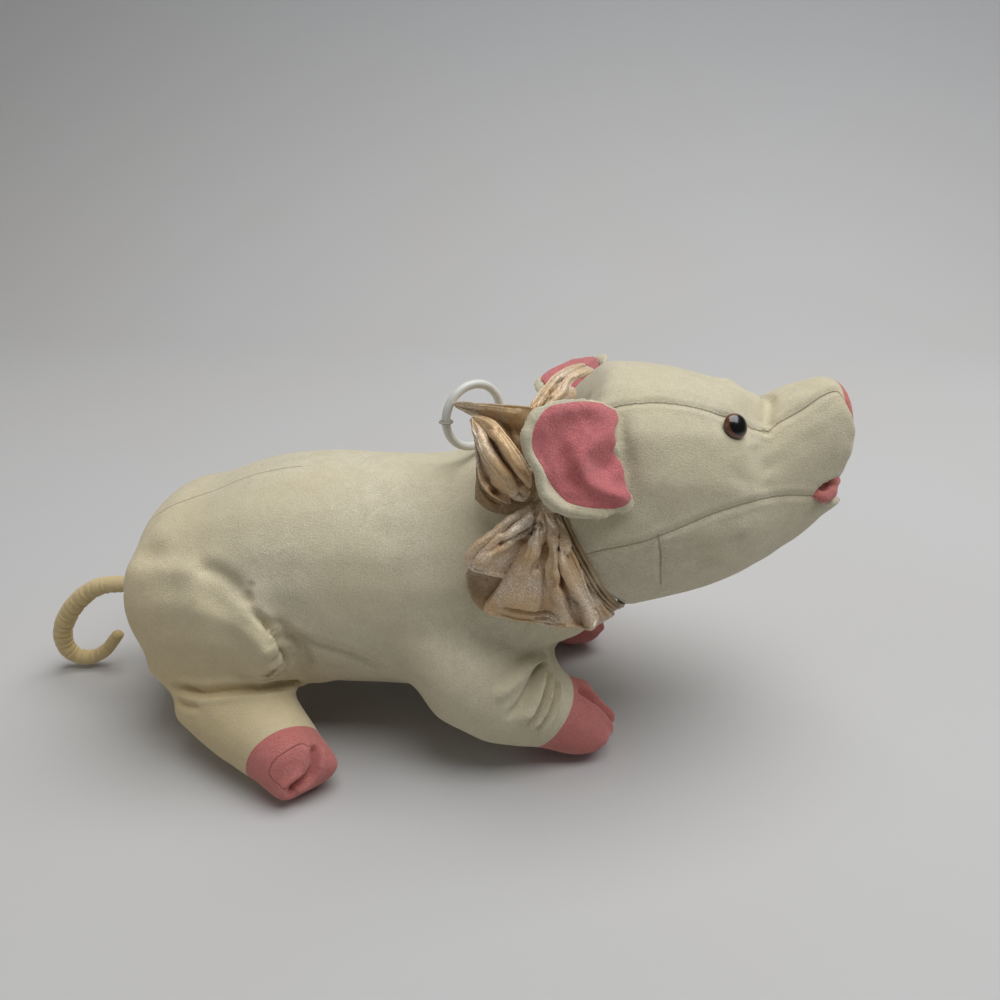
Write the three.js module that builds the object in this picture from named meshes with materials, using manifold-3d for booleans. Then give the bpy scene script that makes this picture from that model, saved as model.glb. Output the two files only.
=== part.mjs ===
// A stuffed velour pig that stands on four pink hooves, with a ribbon bow and a hanging ring at its neck.
// Millimetres. +X is the way the snout points, +Y is the pig's left, +Z is up, the floor is z = 0.
import * as THREE from 'three';
import { mergeVertices } from 'three/addons/utils/BufferGeometryUtils.js';
import Module from 'manifold-3d';

const wasm = await Module();
wasm.setup();

// Body and head
const torsoLength = 250;
const torsoHeight = 114;
const torsoWidth = 115;
const torsoLift = 17;
const headLength = 126;
const headHeight = 119;
const headWidth = 104;
const headLift = 62;
const neckSlant = 62;
const seamGap = 0.3;
const facetGap = 0.1;
const overrun = 60;

// Legs and hooves
const frontLegThickness = 50;
const frontLegLength = 92;
const frontHoofHeight = 33;
const hindLegThickness = 48;
const hindLegLength = 58;
const hindHoofHeight = 34;
const thighLength = 82;
const thighHeight = 72;
const thighWidth = 52;
const thighLift = 40;
const toeLength = 8;
const cleftWidth = 2.4;
const soleDepth = 0.5;

// Ears
const earLength = 44;
const earWidth = 51;
const earThickness = 6.4;
const earBorder = 4.6;
const liningThickness = 1.8;
const earRootRadius = 2.6;

// Face
const snoutDiscHeight = 27;
const snoutDiscWidth = 34;
const snoutDiscThickness = 3;
const nostrilLength = 6.4;
const nostrilWidth = 4;
const nostrilDepth = 1.6;
const nostrilSpacing = 12;
const mouthWidth = 30;
const mouthDepth = 17;
const mouthHeight = 9;
const lipThickness = 1.2;
const eyeDiameter = 10.5;
const eyeDomeHeight = 4.2;
const shankDiameter = 4;
const shankLength = 13;
const washerDiameter = 15;
const washerThickness = 1.4;

// Tail
const tailThickness = 9.6;
const tailRuffle = 1.1;
const tailRuffles = 22;

// Ribbon, bow and ring
const ribbonThickness = 2;
const bandWidth = 12;
const bandTopWidth = 25;
const knotLength = 17;
const knotWidth = 14;
const knotDepth = 9;
const upperLoopLength = 46;
const upperLoopWidth = 44;
const lowerLoopLength = 54;
const lowerLoopWidth = 56;
const loopThickness = 7;
const loopFoldDepth = 3.2;
const upperLoopFolds = 3;
const lowerLoopFolds = 4;
const ringDiameter = 33.5;
const ringThickness = 4;
const threadThickness = 1;
const weldGap = 1e-5;

// How far each soft joint gives, in degrees, which the pieces leave room for
const neckGive = 8;
const legGive = 10;
const earGive = 40;
const tailGive = 15;

const sideways = new THREE.Vector3(0, 1, 0);
const upwards = new THREE.Vector3(0, 0, 1);
const forwards = new THREE.Vector3(1, 0, 0);

function vec(x, y, z) {
  return new THREE.Vector3(x, y, z);
}

function velour(color) {
  return new THREE.MeshStandardMaterial({ color, roughness: 0.95, metalness: 0 });
}

const creamVelour = () => velour(0xe9e1c6);
const pinkVelour = () => velour(0xe0797f);
const ribbonLame = () => new THREE.MeshStandardMaterial({ color: 0xc2ab8c, roughness: 0.45, metalness: 0.35 });
const eyePlastic = () => new THREE.MeshStandardMaterial({ color: 0x3a1e12, roughness: 0.1, metalness: 0 });
const whitePlastic = () => new THREE.MeshStandardMaterial({ color: 0xeeeee8, roughness: 0.4, metalness: 0 });
const creamThread = () => new THREE.MeshStandardMaterial({ color: 0xe6dcc4, roughness: 0.8, metalness: 0 });

// Geometry with its positions alone, as a solid that can be joined and cut
function solidOf(geometry) {
  const bare = geometry.clone();
  bare.deleteAttribute('normal');
  bare.deleteAttribute('uv');
  const merged = mergeVertices(bare, weldGap);
  const mesh = new wasm.Mesh({
    numProp: 3,
    vertProperties: new Float32Array(merged.attributes.position.array),
    triVerts: new Uint32Array(merged.index.array),
  });
  return new wasm.Manifold(mesh);
}

function geometryOf(solid) {
  const mesh = solid.getMesh();
  const geometry = new THREE.BufferGeometry();
  geometry.setAttribute('position', new THREE.BufferAttribute(new Float32Array(mesh.vertProperties), 3));
  geometry.setIndex(new THREE.BufferAttribute(new Uint32Array(mesh.triVerts), 1));
  geometry.computeVertexNormals();
  return geometry;
}

// The same solid turned about a pivot, in degrees
function turned(solid, pivot, axis, degrees) {
  const turn = new THREE.Matrix4().makeRotationAxis(axis, THREE.MathUtils.degToRad(degrees));
  const there = new THREE.Matrix4().makeTranslation(pivot.x, pivot.y, pivot.z);
  const back = new THREE.Matrix4().makeTranslation(-pivot.x, -pivot.y, -pivot.z);
  return solid.transform(there.multiply(turn).multiply(back).elements);
}

// A solid less everything that would touch it anywhere in the swing of its joint
function clearedOf(solid, blockers, pivot, axis, angles) {
  let result = solid;
  for (const blocker of blockers) {
    for (const angle of angles) {
      result = result.subtract(turned(blocker, pivot, axis, -angle));
    }
  }
  return result;
}

function swing(give) {
  return [-give, -give / 2, give / 2, give];
}

// Rings round a centre line, closed at both ends, with the ends rounded over their caps
function ringedForm(rings, sides) {
  const positions = [];
  const index = [];
  for (const ring of rings) {
    for (let k = 0; k < sides; k += 1) {
      const angle = (2 * Math.PI * k) / sides;
      const point = ring.point(angle);
      positions.push(point.x, point.y, point.z);
    }
  }
  for (let i = 0; i + 1 < rings.length; i += 1) {
    for (let k = 0; k < sides; k += 1) {
      const a = i * sides + k;
      const b = i * sides + ((k + 1) % sides);
      index.push(a, b, a + sides);
      index.push(b, b + sides, a + sides);
    }
  }
  const first = positions.length / 3;
  for (const end of [rings[0], rings[rings.length - 1]]) {
    positions.push(end.at.x, end.at.y, end.at.z);
  }
  const last = (rings.length - 1) * sides;
  for (let k = 0; k < sides; k += 1) {
    const next = (k + 1) % sides;
    index.push(first, next, k);
    index.push(first + 1, last + k, last + next);
  }
  const geometry = new THREE.BufferGeometry();
  geometry.setAttribute('position', new THREE.BufferAttribute(new Float32Array(positions), 3));
  geometry.setIndex(index);
  return geometry;
}

// One ring: an oval with its own half sizes above, below and to the side of its centre
function ovalRing(at, along, hint, up, down, side, roundness) {
  const rise = new THREE.Vector3().crossVectors(along, hint).normalize();
  const across = new THREE.Vector3().crossVectors(rise, along).normalize();
  const point = (angle) => {
    const c = Math.cos(angle);
    const s = Math.sin(angle);
    const fit = (Math.abs(c) ** roundness + Math.abs(s) ** roundness) ** (-1 / roundness);
    const height = s > 0 ? up : down;
    return at.clone().addScaledVector(across, side * c * fit).addScaledVector(rise, height * s * fit);
  };
  return { at, point };
}

// A stuffed form: stations give a place and half sizes, and the form runs smoothly through them
function stuffedForm(stations, look) {
  const { sides = 20, fine = 2, capSteps = 4, caps, grow = 0 } = look;
  const { hint = sideways, roundness = 2.2, fullness = 0.92 } = look;
  const centres = new THREE.CatmullRomCurve3(stations.map((station) => station.at), false, 'centripetal');
  const sizes = new THREE.CatmullRomCurve3(
    stations.map((station) => vec(station.up, station.down, station.side)), false, 'catmullrom', 0.5);
  const count = (stations.length - 1) * fine;
  const tiltAt = (t) => {
    const place = t * (stations.length - 1);
    const before = Math.min(Math.floor(place), stations.length - 2);
    return THREE.MathUtils.lerp(stations[before].tilt, stations[before + 1].tilt, place - before);
  };
  const alongAt = (t) => {
    if (stations[0].tilt === undefined) {
      return centres.getTangent(t);
    }
    const tilt = THREE.MathUtils.degToRad(tiltAt(t));
    return vec(Math.cos(tilt), 0, Math.sin(tilt));
  };
  const rings = [];
  const addRing = (t, share, offset) => {
    const along = alongAt(t);
    const at = centres.getPoint(t).addScaledVector(along, offset);
    const size = sizes.getPoint(t);
    rings.push(ovalRing(at, along, hint,
      (size.x + grow) * share, (size.y + grow) * share, (size.z + grow) * share, roundness));
  };
  for (let i = capSteps - 1; i > 0; i -= 1) {
    const turn = (Math.PI / 2) * (i / capSteps);
    addRing(0, Math.cos(turn) ** fullness, -(caps[0] + grow) * Math.sin(turn) ** fullness);
  }
  for (let i = 0; i <= count; i += 1) {
    addRing(i / count, 1, 0);
  }
  for (let i = 1; i < capSteps; i += 1) {
    const turn = (Math.PI / 2) * (i / capSteps);
    addRing(1, Math.cos(turn) ** fullness, (caps[1] + grow) * Math.sin(turn) ** fullness);
  }
  const geometry = ringedForm(rings, sides);
  const position = geometry.attributes.position;
  const poles = [[0, -(caps[0] + grow)], [1, caps[1] + grow]];
  poles.forEach(([t, offset], i) => {
    const pole = centres.getPoint(t).addScaledVector(alongAt(t), offset);
    position.setXYZ(position.count - 2 + i, pole.x, pole.y, pole.z);
  });
  return geometry;
}

// A flat shape in the X-Z plane, given as points, carried right across the pig
function sideProfile(points, halfDepth) {
  const shape = new THREE.Shape(points.map(([x, z]) => new THREE.Vector2(x, z)));
  const geometry = new THREE.ExtrudeGeometry(shape, { depth: 2 * halfDepth, bevelEnabled: false });
  geometry.rotateX(Math.PI / 2);
  geometry.translate(0, halfDepth, 0);
  return geometry;
}

function boxBetween(low, high) {
  const geometry = new THREE.BoxGeometry(high.x - low.x, high.y - low.y, high.z - low.z);
  geometry.translate((low.x + high.x) / 2, (low.y + high.y) / 2, (low.z + high.z) / 2);
  return geometry;
}

// Where a line first meets a geometry, with the surface's direction there
function touchOf(geometry, from, towards) {
  const probe = new THREE.Mesh(geometry, new THREE.MeshBasicMaterial({ side: THREE.DoubleSide }));
  const hit = new THREE.Raycaster(from, towards.clone().normalize()).intersectObject(probe)[0];
  return { point: hit.point, normal: hit.face.normal.clone() };
}

// Torso: rump at the back, the barrel of the body, and the neck rising at the front.
// Each row: share of length from the rump, share of height, then shares of half height above and
// below, of half width, and the slant of that slice in degrees.
const torsoShares = [
  [0.155, 0.455, 0.87, 0.85, 0.92, -8],
  [0.27, 0.48, 0.98, 0.94, 1, -3],
  [0.41, 0.5, 1.02, 0.99, 1.01, 0],
  [0.59, 0.505, 0.985, 1, 0.99, 3],
  [0.73, 0.545, 1, 0.97, 0.97, 12],
  [0.85, 0.68, 1.02, 0.9, 0.95, 20],
  [0.95, 0.82, 1.02, 0.84, 0.86, 21],
];
const rumpCapShare = 0.138;
const neckCapShare = 0.1;
const rumpX = -187;

function torsoForm(grow) {
  const stations = torsoShares.map(([along, rise, up, down, side, tilt]) => ({
    at: vec(rumpX + along * torsoLength, 0, torsoLift + rise * torsoHeight),
    up: (up * torsoHeight) / 2,
    down: (down * torsoHeight) / 2,
    side: (side * torsoWidth) / 2,
    tilt,
  }));
  const caps = [rumpCapShare * torsoLength, neckCapShare * torsoLength];
  return stuffedForm(stations, { sides: 20, fine: 2, caps, grow });
}

// The neck crease, in side view: it slants back from the throat and turns forward over the nape
const throatRiseShare = 0.34;
const hollowBackShare = 0.68;
const hollowRiseShare = 1.08;
const napeBackShare = 0.34;
const napeRiseShare = 1.42;
const pivotAheadShare = 0.38;
const throat = { x: rumpX + torsoLength, z: torsoLift + throatRiseShare * torsoHeight };
const hollow = { x: throat.x - hollowBackShare * neckSlant, z: torsoLift + hollowRiseShare * torsoHeight };
const nape = { x: throat.x - napeBackShare * neckSlant, z: torsoLift + napeRiseShare * torsoHeight };
const neckPivot = vec(hollow.x + pivotAheadShare * neckSlant, 0, (throat.z + hollow.z) / 2);

// All that lies ahead of the crease, with its foot, hollow and top each moved along
function aheadOfCrease(footShift, hollowShift, napeShift) {
  const farX = throat.x + 2 * headLength;
  const highZ = nape.z + overrun;
  return sideProfile([
    [throat.x + footShift, -overrun],
    [throat.x + footShift, throat.z],
    [hollow.x + hollowShift, hollow.z],
    [nape.x + napeShift, nape.z],
    [nape.x + napeShift + overrun / 2, highZ],
    [farX, highZ],
    [farX, -overrun],
  ], torsoWidth);
}

const neckAngles = [-neckGive / 2, 0, neckGive / 2, neckGive];

function makeTorso() {
  return solidOf(torsoForm(0)).subtract(solidOf(aheadOfCrease(0, 0, 0)));
}

// Belly panel: a smoother strip of cloth sewn between the legs, under the barrel
const bellyStartShare = 0.2;
const bellyEndShare = 0.72;
const bellyWidth = 46;
const panelThickness = 1.5;

function makeBellyPanel(legForms) {
  const low = vec(rumpX + bellyStartShare * torsoLength, -bellyWidth / 2, 0);
  const high = vec(rumpX + bellyEndShare * torsoLength, bellyWidth / 2, torsoLift + torsoHeight / 2);
  let panel = solidOf(torsoForm(seamGap + panelThickness)).subtract(solidOf(torsoForm(seamGap)));
  panel = panel.intersect(solidOf(boxBetween(low, high)));
  for (const leg of legForms) {
    panel = clearedOf(panel, [leg.grown], leg.pivot, sideways, swing(-legGive));
  }
  return panel;
}

// Head, from the neck to the snout. Each row: share of length from the neck, share of height, then
// shares of half height above and below, of half width, and the slant of the slice in degrees.
const headOverlap = 33;
const headX = throat.x - headOverlap;
const headShares = [
  [0, 0.42, 1.02, 0.97, 0.96, 16],
  [0.24, 0.49, 1.02, 0.93, 1.02, 8],
  [0.44, 0.5, 0.94, 0.81, 0.98, 5],
  [0.58, 0.5, 0.85, 0.69, 0.88, 3],
  [0.69, 0.505, 0.69, 0.58, 0.74, 4],
  [0.79, 0.545, 0.7, 0.545, 0.6, 5],
  [0.89, 0.61, 0.64, 0.53, 0.49, 5],
  [0.955, 0.665, 0.56, 0.47, 0.44, 3],
];
const headRearCapShare = 0.1;
const headFrontCapShare = 0.045;

function headForm(grow) {
  const stations = headShares.map(([along, rise, up, down, side, tilt]) => ({
    at: vec(headX + along * headLength, 0, headLift + rise * headHeight),
    up: (up * headHeight) / 2,
    down: (down * headHeight) / 2,
    side: (side * headWidth) / 2,
    tilt,
  }));
  const caps = [headRearCapShare * headLength, headFrontCapShare * headLength];
  return stuffedForm(stations, { sides: 16, fine: 2, caps, grow });
}

// The mouth: a wedge that opens forwards, lined in pink
const mouthCornerShare = 0.885;
const mouthRiseShare = 0.46;
const mouthCorner = { x: headX + mouthCornerShare * headLength, z: headLift + mouthRiseShare * headHeight };

function mouthWedge(inset) {
  const tip = mouthCorner.x + 2 * inset;
  return sideProfile([
    [tip, mouthCorner.z],
    [mouthCorner.x + 2 * mouthDepth, mouthCorner.z - mouthHeight + inset],
    [mouthCorner.x + 2 * mouthDepth, mouthCorner.z + mouthHeight - inset],
  ], mouthWidth);
}

// Eyes: each a domed plastic button whose shank goes through the cloth into a washer
const eyeAlongShare = 0.575;
const eyeAngle = 55;
const washerDrop = 6;
const eyeSeat = 0.6;

function eyePlace(side) {
  const x = headX + eyeAlongShare * headLength;
  const axis = vec(x, 0, headLift + headHeight / 2);
  const lean = THREE.MathUtils.degToRad(eyeAngle);
  const out = vec(0, side * Math.cos(lean), Math.sin(lean));
  const start = axis.clone().addScaledVector(out, headHeight);
  const touch = touchOf(headForm(0), start, out.clone().negate());
  const turn = new THREE.Quaternion().setFromUnitVectors(upwards, touch.normal);
  return { at: touch.point, turn, normal: touch.normal };
}

function placedAt(geometry, place, offset) {
  const at = place.at.clone().addScaledVector(place.normal, offset);
  const matrix = new THREE.Matrix4().compose(at, place.turn, vec(1, 1, 1));
  return geometry.clone().applyMatrix4(matrix);
}

function lathe(points, steps) {
  return new THREE.LatheGeometry(points.map(([r, z]) => new THREE.Vector2(r, z)), steps).rotateX(Math.PI / 2);
}

// Eye profile on its own axis: the rim lies on the cloth at zero
function eyeGeometry() {
  const rim = eyeDiameter / 2;
  const points = [[0, -shankLength], [shankDiameter / 2, -shankLength], [shankDiameter / 2, 0], [rim, 0]];
  const domeSteps = 5;
  for (let i = 1; i < domeSteps; i += 1) {
    const turn = (Math.PI / 2) * (i / domeSteps);
    points.push([rim * Math.cos(turn), eyeSeat + (eyeDomeHeight - eyeSeat) * Math.sin(turn)]);
  }
  points.push([0, eyeDomeHeight]);
  return lathe(points, 16);
}

function washerGeometry() {
  const inner = shankDiameter / 2 + seamGap;
  const outer = washerDiameter / 2;
  const low = -washerThickness;
  return lathe([[inner, low], [outer, low], [outer, 0], [inner, 0], [inner, low]], 16);
}

// The pocket that the shank and washer take up inside the stuffing, open along the shank
function eyePocket() {
  const bore = shankDiameter / 2 + seamGap;
  const wide = washerDiameter / 2 + seamGap;
  const top = -washerDrop + seamGap;
  const foot = -washerDrop - washerThickness - seamGap;
  const end = -shankLength - seamGap;
  const rim = eyeDiameter / 2 + seamGap;
  return lathe([[0, end], [bore, end], [bore, foot], [wide, foot], [wide, top], [bore, top],
    [bore, -seamGap], [rim, -seamGap], [rim, eyeDomeHeight], [0, eyeDomeHeight]], 16);
}

// Snout disc: a padded pink oval on the end of the muzzle, with two nostril dimples
const snoutX = 153;
const snoutZ = 161;
const snoutTilt = 12;
const snoutSeat = 9;

function snoutPlace() {
  const tilt = THREE.MathUtils.degToRad(snoutTilt);
  const normal = vec(Math.cos(tilt), 0, Math.sin(tilt));
  const turn = new THREE.Quaternion().setFromUnitVectors(forwards, normal);
  return { at: vec(snoutX, 0, snoutZ), turn, normal };
}

function makeSnoutDisc(headGrown) {
  const place = snoutPlace();
  const half = snoutDiscThickness;
  const geometry = stuffedForm([
    { at: vec(-snoutSeat, 0, 0), up: snoutDiscHeight / 2, down: snoutDiscHeight / 2, side: snoutDiscWidth / 2 },
    { at: vec(0, 0, 0), up: snoutDiscHeight / 2, down: snoutDiscHeight / 2, side: snoutDiscWidth / 2 },
  ], { sides: 18, fine: 1, capSteps: 3, caps: [half, half] });
  let disc = solidOf(placedAt(geometry, place, 0)).subtract(headGrown);
  for (const side of [-1, 1]) {
    const dimple = new THREE.SphereGeometry(1, 10, 6);
    dimple.scale(nostrilDepth * 2, nostrilWidth / 2, nostrilLength / 2);
    dimple.translate(half, (side * nostrilSpacing) / 2, 0);
    disc = disc.subtract(solidOf(placedAt(dimple, place, 0)));
  }
  return disc;
}

// Legs. Each row: share of the way from the root to the hoof, how far that slice sags below the
// straight line and how far it stands out from it, as shares of the leg's length, and its thickness
// as a share of the leg's.
const frontRowShares = [
  [0, 0, 0, 0.88],
  [0.15, 0.05, 0.07, 0.98],
  [0.35, 0.1, 0.135, 1.02],
  [0.55, 0.065, 0.12, 0.97],
  [0.75, 0.02, 0.07, 0.83],
  [0.88, 0.005, 0.03, 0.72],
  [1, 0, 0, 0.66],
];
const hindRowShares = [
  [0, 0, 0, 0.95],
  [0.3, 0.012, 0, 0.92],
  [0.65, 0, 0, 0.82],
  [0.84, 0, 0, 0.76],
  [1, 0, 0, 0.71],
];
const hoofStartShare = 0.85;

// How high the middle of each hoof stands over its sole, as a share of its half thickness
const frontSoleShare = 0.9;
const hindSoleShare = 0.94;

function legForm(leg, grow) {
  const line = leg.hoof.clone().sub(leg.root);
  const stations = leg.rows.map(([along, sag, out, thick]) => {
    const half = ((thick * leg.thickness) / 2);
    const at = leg.root.clone().addScaledVector(line, along);
    at.z -= sag * line.length();
    at.y += leg.side * out * line.length();
    return { at, up: half, down: half, side: half };
  });
  return stuffedForm(stations, { sides: 12, fine: 1, capSteps: 3, caps: leg.caps, grow });
}

function frontLeg(side) {
  const thickness = frontLegThickness;
  const hoofRow = frontRowShares[frontRowShares.length - 1][3];
  const rootX = rumpX + 0.59 * torsoLength;
  return {
    side,
    thickness,
    toeTurn: 0,
    toeRoll: 12,
    seamSlantShare: 0.6,
    hoofHeight: frontHoofHeight,
    rows: frontRowShares,
    root: vec(rootX, side * 0.47 * (torsoWidth / 2), torsoLift + 0.5 * torsoHeight),
    hoof: vec(rootX + 0.87 * frontLegLength, side * 0.77 * (torsoWidth / 2),
      frontSoleShare * (hoofRow * thickness) / 2 - soleDepth),
    caps: [0.34 * thickness, 0.22 * thickness],
  };
}

function hindLeg(side) {
  const thickness = hindLegThickness;
  const hoofRow = hindRowShares[hindRowShares.length - 1][3];
  const rootX = rumpX + 0.243 * torsoLength;
  return {
    side,
    thickness,
    toeTurn: 12,
    toeRoll: 27,
    seamSlantShare: 1,
    hoofHeight: hindHoofHeight,
    rows: hindRowShares,
    root: vec(rootX, side * 0.87 * (torsoWidth / 2), 0.53 * thickness),
    hoof: vec(rootX + 0.63 * hindLegLength, side * (0.87 * (torsoWidth / 2) + 0.47 * hindLegLength),
      hindSoleShare * (hoofRow * thickness) / 2 - soleDepth),
    caps: [0.46 * thickness, 0.22 * thickness],
  };
}

// Thigh rows: share of length back to front, share of half torso width out, then shares of the
// thigh's height for its underside and its height there, and of its width
const thighShares = [
  [0, 0.6, -0.22, 1.1, 0.92],
  [0.3, 0.68, -0.07, 0.95, 1],
  [0.56, 0.76, 0.03, 0.62, 0.86],
];
const thighX = 36;

function thighForm(side, grow) {
  const stations = thighShares.map(([along, out, low, tall, wide]) => ({
    at: vec(rumpX + thighX + along * thighLength, side * out * (torsoWidth / 2),
      thighLift + (low + tall / 2) * thighHeight),
    up: (tall * thighHeight) / 2,
    down: (tall * thighHeight) / 2,
    side: (wide * thighWidth) / 2,
  }));
  const caps = [0.26 * thighLength, 0.16 * thighLength];
  return stuffedForm(stations, { sides: 12, fine: 1, caps, grow, fullness: 0.75 });
}

// A block that covers everything past the place where the hoof's cloth starts
function beyondHoofSeam(leg, shift) {
  const line = leg.hoof.clone().sub(leg.root);
  const start = leg.root.clone().addScaledVector(line, hoofStartShare);
  const along = vec(line.x, line.y, leg.seamSlantShare * line.z).normalize();
  const size = 2 * overrun;
  const block = new THREE.BoxGeometry(size, size, size);
  block.translate(size / 2 + shift, 0, 0);
  const turn = new THREE.Quaternion().setFromUnitVectors(forwards, along);
  return block.applyMatrix4(new THREE.Matrix4().compose(start, turn, vec(1, 1, 1)));
}

function toeDirection(leg) {
  const line = leg.hoof.clone().sub(leg.root);
  const ahead = vec(line.x, line.y, 0).normalize();
  return ahead.applyAxisAngle(upwards, THREE.MathUtils.degToRad(leg.side * leg.toeTurn));
}

// Two toes side by side, past the hoof's own round end
function toeForms(leg) {
  const ahead = toeDirection(leg);
  const across = vec(-ahead.y, ahead.x, 0);
  const half = leg.hoofHeight / 2;
  const toeHalf = 0.56 * half;
  return [-1, 1].map((side) => {
    const start = leg.hoof.clone().addScaledVector(across, side * 0.38 * half);
    const end = start.clone().addScaledVector(ahead, toeLength).addScaledVector(across, side * 0.06 * half);
    end.z = 0.74 * toeHalf - soleDepth;
    return stuffedForm([
      { at: start, up: 0.72 * half, down: half, side: toeHalf },
      { at: end, up: 0.95 * toeHalf, down: 0.78 * toeHalf, side: 0.8 * toeHalf },
    ], { sides: 8, fine: 1, capSteps: 2, caps: [0.4 * half, 0.55 * toeHalf] });
  });
}

function cleftBlock(leg) {
  const ahead = toeDirection(leg);
  const lean = THREE.MathUtils.degToRad(leg.side * leg.toeRoll);
  const across = vec(-ahead.y, ahead.x, 0).applyAxisAngle(ahead, lean);
  const rise = new THREE.Vector3().crossVectors(ahead, across);
  const block = new THREE.BoxGeometry(overrun, cleftWidth, 2 * leg.hoofHeight);
  block.translate(overrun / 2 + 0.36 * leg.hoofHeight, 0, 0);
  const place = new THREE.Matrix4().makeBasis(ahead, across, rise).setPosition(leg.hoof);
  return block.applyMatrix4(place);
}

function floorBlock() {
  const size = 2 * torsoLength;
  return boxBetween(vec(-size, -size, -size), vec(size, size, 0));
}

function makeHoof(leg) {
  let hoof = solidOf(legForm(leg, 0)).intersect(solidOf(beyondHoofSeam(leg, seamGap)));
  for (const toe of toeForms(leg)) {
    hoof = hoof.add(solidOf(toe).intersect(solidOf(beyondHoofSeam(leg, seamGap))));
  }
  return hoof.subtract(solidOf(cleftBlock(leg))).simplify(facetGap).subtract(solidOf(floorBlock()));
}

function makeLeg(leg, extraForms, pivot) {
  let limb = solidOf(legForm(leg, 0)).subtract(solidOf(beyondHoofSeam(leg, 0)));
  for (const extra of extraForms) {
    limb = limb.add(solidOf(extra));
  }
  const blockers = [solidOf(torsoForm(2 * seamGap)), bandForm(2 * seamGap)];
  limb = clearedOf(limb, blockers, pivot, sideways, swing(legGive));
  limb = limb.subtract(solidOf(torsoForm(seamGap))).simplify(facetGap);
  return limb.subtract(solidOf(floorBlock()));
}

// Ears: each row gives a share of length, and shares of half width and half thickness
const rightEarShares = [
  [0, 0.82, 0.62],
  [0.3, 0.99, 0.95],
  [0.62, 0.98, 1],
  [0.92, 0.8, 0.85],
];
const leftEarShares = [
  [0, 0.5, 0.62],
  [0.3, 0.68, 0.95],
  [0.62, 0.88, 1],
  [0.92, 0.74, 0.85],
];
const earRootLowShare = [0.215, 0.62];
const earRootHighShare = [0.165, 0.91];

// The line along which an ear is sewn to the head
function earRootLine(side) {
  const ends = [earRootLowShare, earRootHighShare].map(([along, rise]) => {
    const start = vec(headX + along * headLength, side * headWidth, headLift + rise * headHeight);
    return touchOf(headForm(0), start, vec(0, -side, 0)).point;
  });
  const middle = ends[0].clone().add(ends[1]).divideScalar(2);
  middle.y += side * (earRootRadius * 0.6);
  const along = ends[1].clone().sub(ends[0]).normalize();
  return { middle, along };
}

function earSpine(side) {
  const { middle, along } = earRootLine(side);
  if (side < 0) {
    const reach = vec(-0.93, 0.36 * side, 0.1).multiplyScalar(earLength);
    return { middle, along, reach, tipHint: vec(-0.1, -0.2 * side, 0.97).normalize(), rise: 0, twist: 1 };
  }
  const reach = vec(-0.62, 0.78 * side, 0.03).multiplyScalar(earLength);
  return { middle, along, reach, tipHint: vec(0.96, 0.1 * side, 0.16).normalize(), rise: 0, twist: 0.5 };
}

function earForm(side, widthLess, offset, halfThickness, startShare, grow) {
  const spine = earSpine(side);
  const stations = (side < 0 ? rightEarShares : leftEarShares).map(([along, wide, thick]) => {
    const share = startShare + along * (1 - startShare);
    const at = spine.middle.clone().addScaledVector(spine.reach, share);
    at.z += spine.rise * Math.sin(Math.PI * share);
    const hint = spine.along.clone().lerp(spine.tipHint, share ** spine.twist).normalize();
    return { at, hint, wide: (wide * earWidth) / 2 - widthLess, thick: thick * halfThickness };
  });
  const curve = new THREE.CatmullRomCurve3(stations.map((s) => s.at), false, 'centripetal');
  const rings = [];
  const last = stations.length - 1;
  const addRing = (t, share, offsetAlong) => {
    const place = Math.min(Math.floor(t * last), last - 1);
    const blend = t * last - place;
    const from = stations[place];
    const to = stations[place + 1];
    const tangent = curve.getTangent(t);
    const at = curve.getPoint(t).addScaledVector(tangent, offsetAlong);
    const hint = from.hint.clone().lerp(to.hint, blend).normalize();
    const rise = new THREE.Vector3().crossVectors(tangent, hint).normalize();
    at.addScaledVector(rise, -offset);
    const wide = THREE.MathUtils.lerp(from.wide, to.wide, blend) + grow;
    const thick = THREE.MathUtils.lerp(from.thick, to.thick, blend) + grow;
    rings.push(ovalRing(at, tangent, hint, thick * share, thick * share, wide * (0.25 + 0.75 * share), 3));
  };
  const capSteps = 3;
  const rootCap = startShare > 0 ? halfThickness : earRootRadius;
  for (let i = capSteps; i > 0; i -= 1) {
    const turn = (Math.PI / 2) * (i / (capSteps + 1));
    addRing(0, Math.cos(turn), -(rootCap + grow) * Math.sin(turn));
  }
  const steps = last * 2;
  for (let i = 0; i <= steps; i += 1) {
    addRing(i / steps, 1, 0);
  }
  for (let i = 1; i <= capSteps; i += 1) {
    const turn = (Math.PI / 2) * (i / (capSteps + 1));
    addRing(1, Math.cos(turn), (0.14 * earLength + grow - widthLess * 0.6) * Math.sin(turn));
  }
  return ringedForm(rings, 8);
}

const earHalf = earThickness / 2;
const liningOffset = earHalf - liningThickness * 0.2;
const liningStartShare = 0.07;

// The ears swing out from the head, and the left one also back towards it
const earAngles = { right: [0, earGive / 2, earGive], left: [-earGive / 4, 0, earGive / 2] };

function clearOfHead(side, solid) {
  const { middle, along } = earRootLine(side);
  const angles = side < 0 ? earAngles.right : earAngles.left;
  const blockers = [solidOf(headForm(seamGap))];
  return clearedOf(solid, blockers, middle, along.multiplyScalar(-side), angles).simplify(facetGap);
}

function makeEarBack(side) {
  const lining = solidOf(earForm(side, earBorder, liningOffset, liningThickness / 2, liningStartShare, seamGap));
  return clearOfHead(side, solidOf(earForm(side, 0, 0, earHalf, 0, 0)).subtract(lining));
}

function makeEarLining(side) {
  const lining = earForm(side, earBorder, liningOffset, liningThickness / 2, liningStartShare, 0);
  return clearOfHead(side, solidOf(lining));
}

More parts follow.
